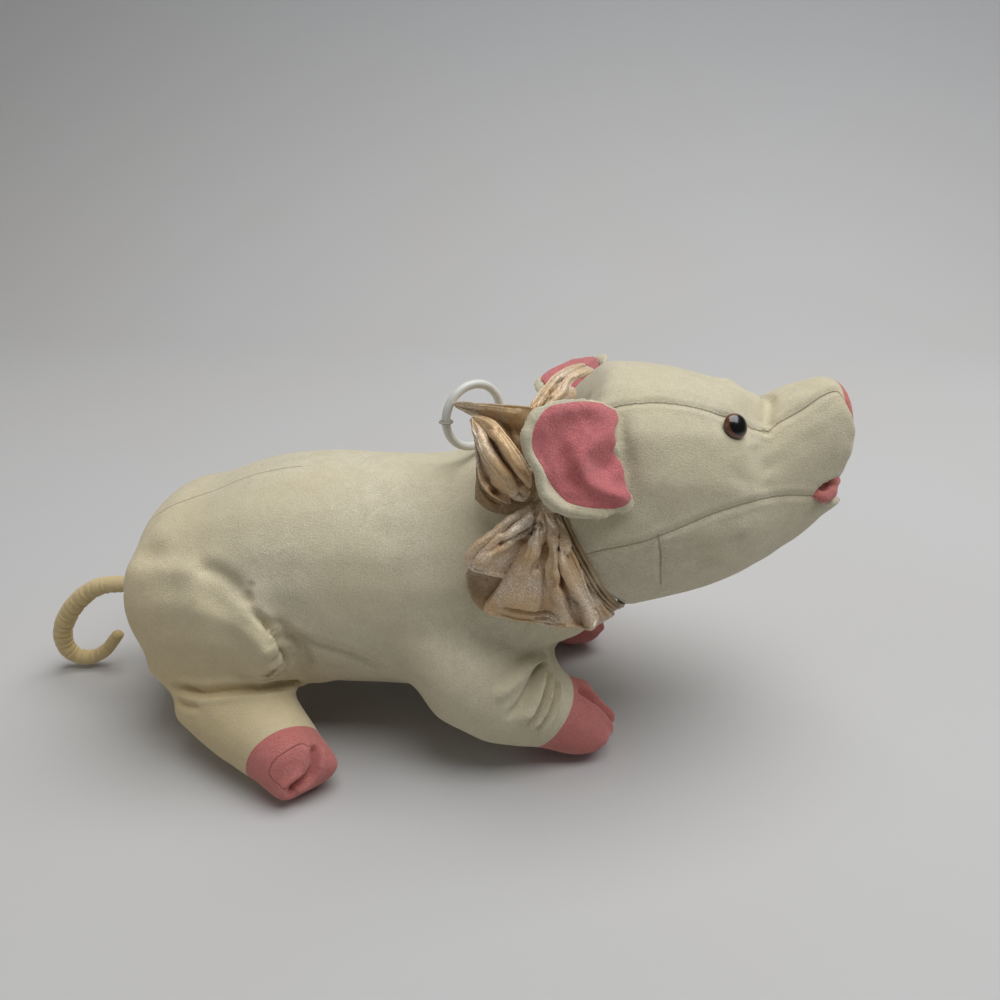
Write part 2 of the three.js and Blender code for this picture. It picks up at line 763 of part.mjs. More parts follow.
function earRootGroove(side) {
  const { middle, along } = earRootLine(side);
  const groove = new THREE.CylinderGeometry(earRootRadius + 2 * seamGap, earRootRadius + 2 * seamGap,
    earWidth * 1.1, 16);
  const turn = new THREE.Quaternion().setFromUnitVectors(sideways, along);
  return groove.applyMatrix4(new THREE.Matrix4().compose(middle, turn, vec(1, 1, 1)));
}

// Tail: a ruched tube that arcs up from the rump, down to the floor and curls forwards.
// Each row: shares of its length along X and Y from the root, and of the root's height above the floor.
const tailLength = 104;
const tailPathShares = [
  [0, 0, 0],
  [-0.14, 0, 0.04],
  [-0.3, 0.01, -0.03],
  [-0.45, 0.02, -0.28],
  [-0.55, 0.03, -0.6],
  [-0.56, 0.04, -0.87],
  [-0.49, 0.05, -1],
  [-0.38, 0.06, -0.93],
  [-0.27, 0.06, -0.68],
];
const tailRootRiseShare = 0.345;

function tailRoot() {
  const start = vec(rumpX - overrun, 0, torsoLift + tailRootRiseShare * torsoHeight);
  return touchOf(torsoForm(0), start, forwards).point;
}

function tailForm() {
  const root = tailRoot();
  root.x -= seamGap;
  const drop = root.z - tailThickness / 2 - tailRuffle;
  const curve = new THREE.CatmullRomCurve3(tailPathShares.map(([x, y, z]) => (
    vec(root.x + x * tailLength, root.y + y * tailLength, root.z + z * drop))), false, 'centripetal');
  const rings = [];
  const count = tailRuffles * 2;
  const sides = 6;
  const sizeAt = (t) => (tailThickness / 2) * (1 - 0.1 * Math.cos(2 * Math.PI * t) - 0.28 * t ** 4);
  const addRing = (t, offset, half) => {
    const along = curve.getTangentAt(t);
    const at = curve.getPointAt(t).addScaledVector(along, offset);
    rings.push(ovalRing(at, along, sideways, half, half, half, 2));
  };
  for (const turn of [0.85, 0.5]) {
    addRing(0, -sizeAt(0) * turn, sizeAt(0) * Math.sqrt(1 - turn * turn));
  }
  for (let i = 0; i <= count; i += 1) {
    const t = i / count;
    const ruffle = i % 2 === 0 && i > 1 ? -tailRuffle / 2 : tailRuffle / 2;
    addRing(t, 0, sizeAt(t) + (i > 1 && i < count ? ruffle : 0));
  }
  for (const turn of [0.5, 0.85]) {
    addRing(1, sizeAt(1) * turn, sizeAt(1) * Math.sqrt(1 - turn * turn));
  }
  return ringedForm(rings, sides);
}

function tailSocket() {
  const socket = new THREE.SphereGeometry(tailThickness * 0.5 + 2 * seamGap, 16, 12);
  const root = tailRoot();
  return socket.translate(root.x - seamGap, root.y, root.z);
}

// Ribbon band: it follows the crease round the neck, narrow underneath and spread over the nape
function bandForm(grow) {
  const outer = solidOf(torsoForm(seamGap + ribbonThickness + grow));
  const ahead = -seamGap + grow;
  const front = solidOf(aheadOfCrease(ahead, ahead, ahead));
  const rear = solidOf(aheadOfCrease(-bandWidth - grow, -bandWidth - grow, -bandTopWidth - grow));
  return outer.intersect(rear).subtract(front);
}

function makeRibbonBand() {
  return bandForm(0).subtract(solidOf(torsoForm(seamGap)));
}

// The knot sits on the band, on the pig's right side
const knotAheadShare = -0.02;
const knotLift = 0.5;

function knotPlace() {
  const start = vec(hollow.x - bandWidth / 2 + knotAheadShare * neckSlant, -torsoWidth, hollow.z);
  return touchOf(torsoForm(2 * seamGap + ribbonThickness), start, sideways).point;
}

function knotForm(grow) {
  const at = knotPlace();
  at.y -= knotDepth * knotLift;
  const half = { up: knotDepth / 2, down: knotDepth / 2, side: knotWidth / 2 };
  const lean = vec(-0.35, 0, 0.94);
  const low = at.clone().addScaledVector(lean, -0.22 * knotLength);
  const high = at.clone().addScaledVector(lean, 0.22 * knotLength);
  const cap = 0.28 * knotLength;
  return stuffedForm([{ at: low, ...half }, { at: high, ...half }],
    { sides: 16, fine: 1, caps: [cap, cap], grow, hint: forwards });
}

// Bow loops: a padded fan from the knot to its open end, pleated along its length. The points of
// the open end are shares of the loop's length from the knot.
const upperLoopEndShares = [
  [-0.56, -0.1, -0.02],
  [-0.72, 0.3, 0.24],
  [-0.9, 1.0, 0.4],
  [-0.2, 0.5, 0.6],
];
const lowerLoopEndShares = [
  [-0.56, -0.2, -0.46],
  [-0.42, -0.2, -0.86],
  [0, -0.22, -1.08],
  [0.46, -0.2, -1.16],
];
const loopRiseShare = 0.13;
const loopClearance = 1;

function loopForm(look) {
  const knot = knotPlace();
  knot.y -= knotDepth * knotLift;
  const root = knot.clone().add(look.rootShift);
  const end = new THREE.CatmullRomCurve3(look.endShares.map(([x, y, z]) => (
    knot.clone().add(vec(x, y, z).multiplyScalar(look.length)))));
  const across = end.getPoint(1).sub(end.getPoint(0)).normalize();
  const along = end.getPoint(0.5).sub(root).normalize();
  const normal = new THREE.Vector3().crossVectors(along, across).normalize();
  if (normal.y > 0) {
    normal.negate();
  }
  const rows = 6;
  const columns = 5 * look.folds;
  const middleAt = (u, v) => {
    const start = root.clone().addScaledVector(across, (v - 0.5) * look.rootWidth);
    const point = start.lerp(end.getPoint(v), u);
    const fold = loopFoldDepth * Math.sin(2 * Math.PI * look.folds * v) * Math.min(1, 0.35 + u);
    return point.addScaledVector(normal, fold + loopRiseShare * look.length * Math.sin(Math.PI * u));
  };
  const rings = [];
  for (let i = 0; i <= rows; i += 1) {
    const u = i / rows;
    const half = (loopThickness / 2) * (0.45 + 0.55 * Math.sin(Math.PI * Math.min(u * 1.1, 1) * 0.8));
    const count = 2 * (columns + 1);
    const point = (angle) => {
      const k = Math.round((angle / (2 * Math.PI)) * count) % count;
      const front = k <= columns;
      const v = front ? k / columns : (count - 1 - k) / columns;
      const thin = 0.35 + 0.65 * Math.sin(Math.PI * v) ** 0.5;
      return middleAt(u, v).addScaledVector(normal, (front ? 1 : -1) * half * thin);
    };
    rings.push({ at: middleAt(u, 0.5), point });
  }
  return ringedForm(rings, 2 * (columns + 1));
}

function facedOut(geometry) {
  const solid = solidOf(geometry);
  if (solid.volume() > 0) {
    return solid;
  }
  const index = geometry.index.array;
  for (let i = 0; i < index.length; i += 3) {
    const swap = index[i];
    index[i] = index[i + 1];
    index[i + 1] = swap;
  }
  return solidOf(geometry);
}

const upperLoop = () => loopForm({
  rootShift: vec(-knotWidth * 0.35, 0, knotLength * 0.3),
  rootWidth: 0.24 * upperLoopWidth,
  endShares: upperLoopEndShares,
  length: upperLoopLength,
  folds: upperLoopFolds,
});
const lowerLoop = () => loopForm({
  rootShift: vec(knotWidth * 0.05, 0, -knotLength * 0.35),
  rootWidth: 0.2 * lowerLoopWidth,
  endShares: lowerLoopEndShares,
  length: lowerLoopLength,
  folds: lowerLoopFolds,
});

// Ring: it stands on the back, tied by a thread to the tip of the upper loop
const ringBehindNape = 53.92;
const ringX = nape.x - ringBehindNape;
const ringY = -3;
const ringTurn = 38;
const ringGap = 0.5;

// The ring swings away from the bow about its thread
const ringSwings = [0, 20, 40];

function ringPlace() {
  const back = torsoForm(0);
  const turn = THREE.MathUtils.degToRad(ringTurn);
  const radius = ringDiameter / 2;
  let height = 0;
  for (let share = -0.8; share <= 0.8; share += 0.2) {
    const at = vec(ringX + share * radius * Math.cos(turn), ringY + share * radius * Math.sin(turn), 4 * torsoHeight);
    const touch = touchOf(back, at, upwards.clone().negate());
    height = Math.max(height, touch.point.z + radius * Math.sqrt(1 - share * share));
  }
  return vec(ringX, ringY, height + ringGap);
}

function makeRing() {
  const tube = ringThickness / 2;
  const geometry = new THREE.TorusGeometry(ringDiameter / 2 - tube, tube, 8, 28);
  geometry.rotateX(Math.PI / 2);
  geometry.rotateZ(THREE.MathUtils.degToRad(ringTurn));
  const centre = ringPlace();
  return solidOf(geometry.translate(centre.x, centre.y, centre.z));
}

function threadPlace() {
  const turn = THREE.MathUtils.degToRad(ringTurn);
  const out = vec(-Math.cos(turn), -Math.sin(turn), 0);
  return ringPlace().addScaledVector(out, ringDiameter / 2 - ringThickness / 2);
}

// Thread: one small loop round the ring's tube, drawn against the bow
function threadGeometry(grow) {
  const half = threadThickness / 2;
  const radius = ringThickness / 2 + seamGap + half;
  const geometry = new THREE.TorusGeometry(radius, half + grow, 8, 16);
  const place = threadPlace();
  return geometry.translate(place.x, place.y, place.z);
}

function ringSweep() {
  const reach = (ringThickness / 2) + 3 * seamGap;
  const geometry = new THREE.TorusGeometry(ringDiameter / 2 - ringThickness / 2, reach, 6, 16);
  geometry.rotateX(Math.PI / 2);
  geometry.rotateZ(THREE.MathUtils.degToRad(ringTurn));
  const centre = ringPlace();
  return geometry.translate(centre.x, centre.y, centre.z);
}

function makeLoop(geometry, blockers) {
  let loop = facedOut(geometry);
  loop = loop.subtract(solidOf(torsoForm(2 * seamGap + ribbonThickness)));
  loop = loop.subtract(solidOf(aheadOfCrease(-loopClearance, -loopClearance, -loopClearance)));
  for (const blocker of blockers) {
    loop = loop.subtract(blocker);
  }
  return loop;
}

const group = new THREE.Group();

function addPiece(name, solid, material) {
  const mesh = new THREE.Mesh(geometryOf(solid), material);
  mesh.name = name;
  group.add(mesh);
}

function largestOf(solid) {
  const pieces = solid.decompose();
  return pieces.sort((a, b) => b.volume() - a.volume())[0];
}

function addLegs() {
  const legForms = [];
  for (const side of [-1, 1]) {
    const hand = side < 0 ? 'right' : 'left';
    const front = frontLeg(side);
    const hind = hindLeg(side);
    addPiece(`front_leg_${hand}`, largestOf(makeLeg(front, [], front.root)), creamVelour());
    addPiece(`front_hoof_${hand}`, largestOf(makeHoof(front)), pinkVelour());
    const hip = vec(rumpX + thighX + 0.2 * thighLength, 0, torsoLift + 0.55 * torsoHeight);
    addPiece(`hind_leg_${hand}`, largestOf(makeLeg(hind, [thighForm(side, 0)], hip)), creamVelour());
    addPiece(`hind_hoof_${hand}`, largestOf(makeHoof(hind)), pinkVelour());
    legForms.push({ grown: solidOf(legForm(front, 2 * seamGap)), pivot: front.root });
    legForms.push({ grown: solidOf(legForm(hind, 2 * seamGap)), pivot: hip });
    legForms.push({ grown: solidOf(thighForm(side, 2 * seamGap)), pivot: hip });
  }
  return legForms;
}

function addHead() {
  let head = solidOf(headForm(0));
  for (const angle of neckAngles) {
    const ahead = solidOf(aheadOfCrease(seamGap, seamGap, seamGap));
    head = head.intersect(turned(ahead, neckPivot, sideways, -angle));
  }
  head = head.subtract(solidOf(mouthWedge(0)));
  const lining = solidOf(headForm(-lipThickness)).intersect(solidOf(mouthWedge(seamGap)));
  for (const side of [-1, 1]) {
    const hand = side < 0 ? 'right' : 'left';
    const eye = eyePlace(side);
    head = head.subtract(solidOf(placedAt(eyePocket(), eye, eyeSeat / 2)));
    head = head.subtract(solidOf(earRootGroove(side)));
    addPiece(`eye_${hand}`, solidOf(placedAt(eyeGeometry(), eye, eyeSeat / 2)), eyePlastic());
    addPiece(`eye_washer_${hand}`, solidOf(placedAt(washerGeometry(), eye, eyeSeat / 2 - washerDrop)),
      whitePlastic());
    addPiece(`ear_${hand}`, largestOf(makeEarBack(side)), creamVelour());
    addPiece(`ear_lining_${hand}`, largestOf(makeEarLining(side)), pinkVelour());
  }
  addPiece('head', largestOf(head), creamVelour());
  addPiece('mouth_lining', largestOf(lining), pinkVelour());
  addPiece('snout_disc', largestOf(makeSnoutDisc(solidOf(headForm(seamGap)))), pinkVelour());
}

function addRibbon() {
  const knot = solidOf(knotForm(0)).subtract(solidOf(torsoForm(2 * seamGap + ribbonThickness)));
  const knotGrown = solidOf(knotForm(seamGap));
  const ringGrown = ringSwings.map((angle) => turned(solidOf(ringSweep()), threadPlace(), upwards, angle));
  const thread = solidOf(threadGeometry(0));
  const threadGrown = solidOf(threadGeometry(seamGap));
  addPiece('ribbon_band', largestOf(makeRibbonBand()), ribbonLame());
  addPiece('bow_knot', largestOf(knot), ribbonLame());
  const upper = makeLoop(upperLoop(), [knotGrown, threadGrown, ...ringGrown]);
  addPiece('bow_loop_upper', largestOf(upper), ribbonLame());
  const lower = makeLoop(lowerLoop(), [knotGrown, solidOf(upperLoop())]);
  addPiece('bow_loop_lower', largestOf(lower), ribbonLame());
  addPiece('hanging_ring', makeRing(), whitePlastic());
  addPiece('ring_thread', thread, creamThread());
}

const legForms = addLegs();
addPiece('torso', largestOf(makeTorso().subtract(solidOf(tailSocket()))), creamVelour());
addPiece('belly_panel', largestOf(makeBellyPanel(legForms)), creamVelour());
addHead();
addRibbon();
addPiece('tail', facedOut(tailForm()), creamVelour());

// The origin is under the middle of the whole pig, on the floor
const bounds = new THREE.Box3().setFromObject(group);
const middle = bounds.getCenter(new THREE.Vector3());
group.position.set(-middle.x, -middle.y, -bounds.min.z);

export default group;
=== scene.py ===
# Plush pig on pale paper: velour skins, lame bow, plastic eyes and ring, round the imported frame
import bpy
import bmesh
import math
import numpy as np
from mathutils import Vector, Matrix, Euler
from mathutils.bvhtree import BVHTree


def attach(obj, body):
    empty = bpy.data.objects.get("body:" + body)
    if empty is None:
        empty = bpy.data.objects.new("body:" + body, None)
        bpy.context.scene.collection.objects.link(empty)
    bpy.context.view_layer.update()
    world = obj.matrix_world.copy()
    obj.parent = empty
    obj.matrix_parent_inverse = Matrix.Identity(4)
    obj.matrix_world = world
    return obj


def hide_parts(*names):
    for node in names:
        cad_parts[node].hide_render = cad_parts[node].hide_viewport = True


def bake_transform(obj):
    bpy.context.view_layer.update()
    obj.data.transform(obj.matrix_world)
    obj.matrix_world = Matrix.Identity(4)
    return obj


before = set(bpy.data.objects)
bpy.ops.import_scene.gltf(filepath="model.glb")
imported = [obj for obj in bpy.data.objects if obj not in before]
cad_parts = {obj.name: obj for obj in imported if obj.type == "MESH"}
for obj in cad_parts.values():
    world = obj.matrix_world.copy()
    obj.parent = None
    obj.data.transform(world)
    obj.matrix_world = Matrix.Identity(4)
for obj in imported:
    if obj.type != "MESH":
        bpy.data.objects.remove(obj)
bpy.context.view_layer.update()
mm = 0.001
print("frame loaded")

# camera: where the photograph was taken from
cameraView = {"place": (63.06, -349.5, 279.0), "pitch": 64.5, "turn": 3.0, "lens": 28.8, "sensor": 36.0}


def makeCamera(view):
    data = bpy.data.cameras.new("camera")
    data.lens = view["lens"]
    data.sensor_width = view["sensor"]
    data.clip_start = 0.01
    camera = bpy.data.objects.new("camera", data)
    camera.location = Vector(view["place"]) * mm
    camera.rotation_euler = Euler((math.radians(view["pitch"]), 0, math.radians(view["turn"])))
    bpy.context.scene.collection.objects.link(camera)
    bpy.context.scene.camera = camera


makeCamera(cameraView)


# small helpers
def hexColor(text):
    value = [int(text[i:i + 2], 16) / 255 for i in (1, 3, 5)]
    return [c / 12.92 if c <= 0.04045 else ((c + 0.055) / 1.055) ** 2.4 for c in value] + [1.0]


def addNode(tree, kind, settings=None, links=None):
    node = tree.nodes.new("ShaderNode" + kind)
    for key, value in (settings or {}).items():
        if isinstance(key, int) or key in node.inputs:
            node.inputs[key].default_value = value
        else:
            setattr(node, key, value)
    for key, source in (links or {}).items():
        tree.links.new(source, node.inputs[key])
    return node


def deselectAll():
    if bpy.context.mode != "OBJECT":
        bpy.ops.object.mode_set(mode="OBJECT")
    bpy.ops.object.select_all(action="DESELECT")


def pick(obj):
    deselectAll()
    obj.select_set(True)
    bpy.context.view_layer.objects.active = obj
    return obj


def useModifier(obj, kind, **settings):
    modifier = obj.modifiers.new(kind.lower(), kind)
    for key, value in settings.items():
        setattr(modifier, key, value)
    pick(obj)
    bpy.ops.object.modifier_apply(modifier=modifier.name)


def newObject(name, mesh):
    obj = bpy.data.objects.new(name, mesh)
    bpy.context.scene.collection.objects.link(obj)
    return obj


def meshObject(name, points, faces):
    mesh = bpy.data.meshes.new(name)
    mesh.from_pydata([tuple(point * mm) for point in points], [], faces)
    return newObject(name, mesh)


def cadCopy(name, *nodes):
    # the CAD solids' own meshes, copied, joined and merged
    form = bmesh.new()
    for node in nodes:
        form.from_mesh(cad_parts[node].data)
    bmesh.ops.remove_doubles(form, verts=form.verts, dist=1e-6)
    mesh = bpy.data.meshes.new(name)
    form.to_mesh(mesh)
    form.free()
    mesh.materials.clear()
    return newObject(name, mesh)


def stuffed(obj, voxel, swell, smoothing, finer):
    # swelling before the remesh and shrinking after it closes narrow gaps and rounds the creases
    if swell:
        useModifier(obj, "DISPLACE", strength=swell * mm, mid_level=0)
    useModifier(obj, "REMESH", mode="VOXEL", voxel_size=voxel * mm, use_smooth_shade=True)
    if swell:
        useModifier(obj, "DISPLACE", strength=-swell * mm, mid_level=0)
    if smoothing:
        useModifier(obj, "SMOOTH", factor=0.5, iterations=smoothing)
    if finer:
        useModifier(obj, "SUBSURF", levels=finer, render_levels=finer)
    return obj


def shareIn(points, area):
    # how far each point belongs to the area, from 0 to 1. A zone is a list of ramps (axis, start, width)
    # that all have to hold. A spot is a place, taken on both sides, and how far it spreads
    folded = points.copy()
    folded[:, 1] = abs(folded[:, 1])

    def zoneShare(ramps):
        return np.minimum.reduce([(points[:, axis] - start) / width for axis, start, width in ramps])

    found = [zoneShare(ramps) for ramps in area.get("zones", [])]
    for place, spread in area.get("spots", []):
        gap = sum((folded[:, axis] - value) ** 2 for axis, value in enumerate(place))
        found.append(area.get("most", 1) * np.exp(-gap / spread))
    share = np.maximum.reduce(found)
    if "within" in area:
        share = share * np.minimum(1, zoneShare(area["within"]))
    return np.clip(share, 0, 1)


def relax(obj, area):
    # more smoothing inside the area
    group = obj.vertex_groups.new(name="relax")
    for i, share in enumerate(shareIn(readPoints(obj), area)):
        if share > 0.02:
            group.add([i], float(share), "REPLACE")
    useModifier(obj, "SMOOTH", factor=0.5, iterations=area["times"], vertex_group="relax")
    obj.vertex_groups.clear()


def readPoints(obj):
    points = np.empty(len(obj.data.vertices) * 3, np.float32)
    obj.data.vertices.foreach_get("co", points)
    return points.reshape(-1, 3).astype(float) / mm


def readNormals(obj):
    normals = np.empty(len(obj.data.vertices) * 3, np.float32)
    obj.data.vertex_normals.foreach_get("vector", normals)
    return normals.reshape(-1, 3).astype(float)


def writePoints(obj, points):
    obj.data.vertices.foreach_set("co", (points * mm).astype(np.float32).ravel())
    obj.data.update()


def curvePoint(a, b, c, d, t):
    # on the smooth curve through four points, between the middle two
    return 0.5 * (2 * b + (c - a) * t + (2 * a - 5 * b + 4 * c - d) * t ** 2
                  + (3 * b - a - 3 * c + d) * t ** 3)


def smoothPath(points, step=0.8):
    # a smooth line through the points, sampled at about one step
    points = np.array(points, float)
    if len(points) < 3:
        count = max(2, int(np.linalg.norm(points[-1] - points[0]) / step) + 1)
        share = np.linspace(0, 1, count)[:, None]
        return points[0] * (1 - share) + points[-1] * share
    ends = np.vstack([2 * points[0] - points[1], points, 2 * points[-1] - points[-2]])
    line = []
    for i in range(1, len(ends) - 2):
        a, b, c, d = ends[i - 1:i + 3]
        count = max(2, int(np.linalg.norm(c - b) / step) + 1)
        for t in np.linspace(0, 1, count, endpoint=False):
            line.append(curvePoint(a, b, c, d, t))
    line.append(ends[-2])
    return np.array(line)


def lengthsAlong(line):
    return np.concatenate([[0], np.cumsum(np.linalg.norm(np.diff(line, axis=0), axis=1))])


def directionsAlong(line):
    ahead = np.gradient(line, axis=0)
    return ahead / np.maximum(np.linalg.norm(ahead, axis=1), 1e-9)[:, None]


def sided(point, side):
    # the point, or its mirror image on the left where the side is -1
    return Vector((point[0], point[1] * side, point[2]))


def eachPath(strokes, sides):
    # every stroke once for each side, with its path on that side
    for stroke in strokes:
        for side in sides:
            yield stroke, [(x, y * side, z) for x, y, z in stroke["path"]], side


def settle(obj, line):
    # the line laid on the piece's surface
    tree = BVHTree.FromObject(obj, bpy.context.evaluated_depsgraph_get())
    laid = []
    for point in line:
        near = tree.find_nearest(Vector(point * mm))[0]
        laid.append(np.array(near) / mm)
    return np.array(laid)


def lineField(points, line, reach):
    # for the points near the line: their index, distance, share and length along it, and nearest sample
    low, high = line.min(0) - reach, line.max(0) + reach
    near = np.nonzero(np.all((points > low) & (points < high), axis=1))[0]
    lengths = lengthsAlong(line)
    best = np.full(len(near), 1e9)
    index = np.zeros(len(near), int)
    for i, sample in enumerate(line):
        gap = np.sum((points[near] - sample) ** 2, axis=1)
        closer = gap < best
        best[closer] = gap[closer]
        index[closer] = i
    total = max(lengths[-1], 1e-6)
    return near, np.sqrt(best), lengths[index] / total, lengths[index], index


def sculpt(obj, strokes, sides=(1,)):
    # strokes press grooves (depth > 0) or raise ridges (depth < 0) along lines on the surface
    points, normals = readPoints(obj), readNormals(obj)
    moved = points.copy()
    for stroke, path, _ in eachPath(strokes, sides):
        line = settle(obj, smoothPath(path)) if len(path) > 1 else np.array(path, float)
        width = stroke["width"]
        near, gap, share, _, _ = lineField(points, line, 4 * width)
        taper = np.ones(len(near))
        if len(path) > 1:
            taper = np.clip(np.minimum(share, 1 - share) / stroke.get("ends", 0.25), 0, 1)
            taper = taper * taper * (3 - 2 * taper)
            if stroke.get("open") == "start":
                taper = np.where(share < 0.5, 1, taper)
            if stroke.get("open") == "end":
                taper = np.where(share > 0.5, 1, taper)
        press = np.exp(-(gap / width) ** 2)
        press = press - stroke.get("lip", 0.2) * np.exp(-((gap - 2 * width) / width) ** 2)
        moved[near] -= normals[near] * (stroke["depth"] * taper * press)[:, None]
    writePoints(obj, moved)


def push(obj, moves, sides=(1,)):
    # whole stretches of the piece moved along a direction, fading away from a line
    points = readPoints(obj)
    moved = points.copy()
    for move, path, side in eachPath(moves, sides):
        line = smoothPath(path) if len(path) > 1 else np.array(path, float)
        near, gap, _, _, _ = lineField(points, line, 3 * move["width"])
        shift = np.array(move["move"], float) * (1, side, 1)
        moved[near] += np.exp(-(gap / move["width"]) ** 2)[:, None] * shift
    writePoints(obj, moved)


def gathers(obj, strokes, sides=(1,)):
    # scallops that stand along a drawn-up edge and fade away from it
    points, normals = readPoints(obj), readNormals(obj)
    moved = points.copy()
    for stroke, path, _ in eachPath(strokes, sides):
        line = settle(obj, smoothPath(path))
        near, gap, share, along, _ = lineField(points, line, 3 * stroke["fade"])
        taper = np.clip(np.minimum(share, 1 - share) / 0.15, 0, 1)
        wave = np.abs(np.sin(math.pi * (along / stroke["pitch"] + 0.6 * np.sin(along / 5.0)))) - 0.6
        fade = np.exp(-(gap / stroke["fade"]) ** 2)
        moved[near] += normals[near] * (stroke["height"] * taper * wave * fade)[:, None]
    writePoints(obj, moved)


def lumps(points, size, seed, count=14):
    # soft seeded unevenness, between about -1 and 1
    draw = np.random.RandomState(seed)
    total = np.zeros(len(points))
    for _ in range(count):
        way = draw.normal(size=3)
        way *= 2 * math.pi / size / np.linalg.norm(way) * draw.uniform(0.7, 1.4)
        total += np.cos(points @ way + draw.uniform(0, 2 * math.pi))
    return total / math.sqrt(count)


def unevenness(obj, sizes, seed):
    points, normals = readPoints(obj), readNormals(obj)
    for i, (size, height) in enumerate(sizes):
        points = points + normals * (height * lumps(points, size, seed + i))[:, None]
    writePoints(obj, points)


def markSeams(obj, seams=(), sides=(1,)):
    # the signed distance from the nearest seam, and the length along it, both in millimetres
    points, normals = readPoints(obj), readNormals(obj)
    best = np.full(len(points), 99.0)
    signed = np.full(len(points), 99.0)
    run = np.zeros(len(points))
    for _, path, _ in eachPath([{"path": seam} for seam in seams], sides):
        line = settle(obj, smoothPath(path, 0.5))
        near, gap, _, along, index = lineField(points, line, 9)
        ahead = directionsAlong(line)[index]
        offset = points[near] - line[index]
        across = np.einsum("ij,ij->i", np.cross(ahead, normals[near]), offset)
        past = np.abs(np.einsum("ij,ij->i", ahead, offset))
        gap = np.where(past > 1.0, gap, np.minimum(gap, np.abs(across) + 0.2 * past))
        closer = gap < best[near]
        best[near[closer]] = gap[closer]
        signed[near[closer]] = (gap * np.where(across < 0, -1.0, 1.0))[closer]
        run[near[closer]] = along[closer]
    for name, values in (("seamDistance", np.clip(signed, -99, 99)), ("seamRun", run)):
        attribute = obj.data.attributes.new(name, "FLOAT", "POINT")
        attribute.data.foreach_set("value", values.astype(np.float32))


def finishPiece(obj, material, angle=55):
    obj.data.materials.clear()
    obj.data.materials.append(material)
    pick(obj)
    bpy.ops.object.shade_smooth_by_angle(angle=math.radians(angle))


# materials
def startMaterial(name):
    material = bpy.data.materials.new(name)
    material.use_nodes = True
    tree = material.node_tree
    surface = tree.nodes["Principled BSDF"]
    return material, tree, surface


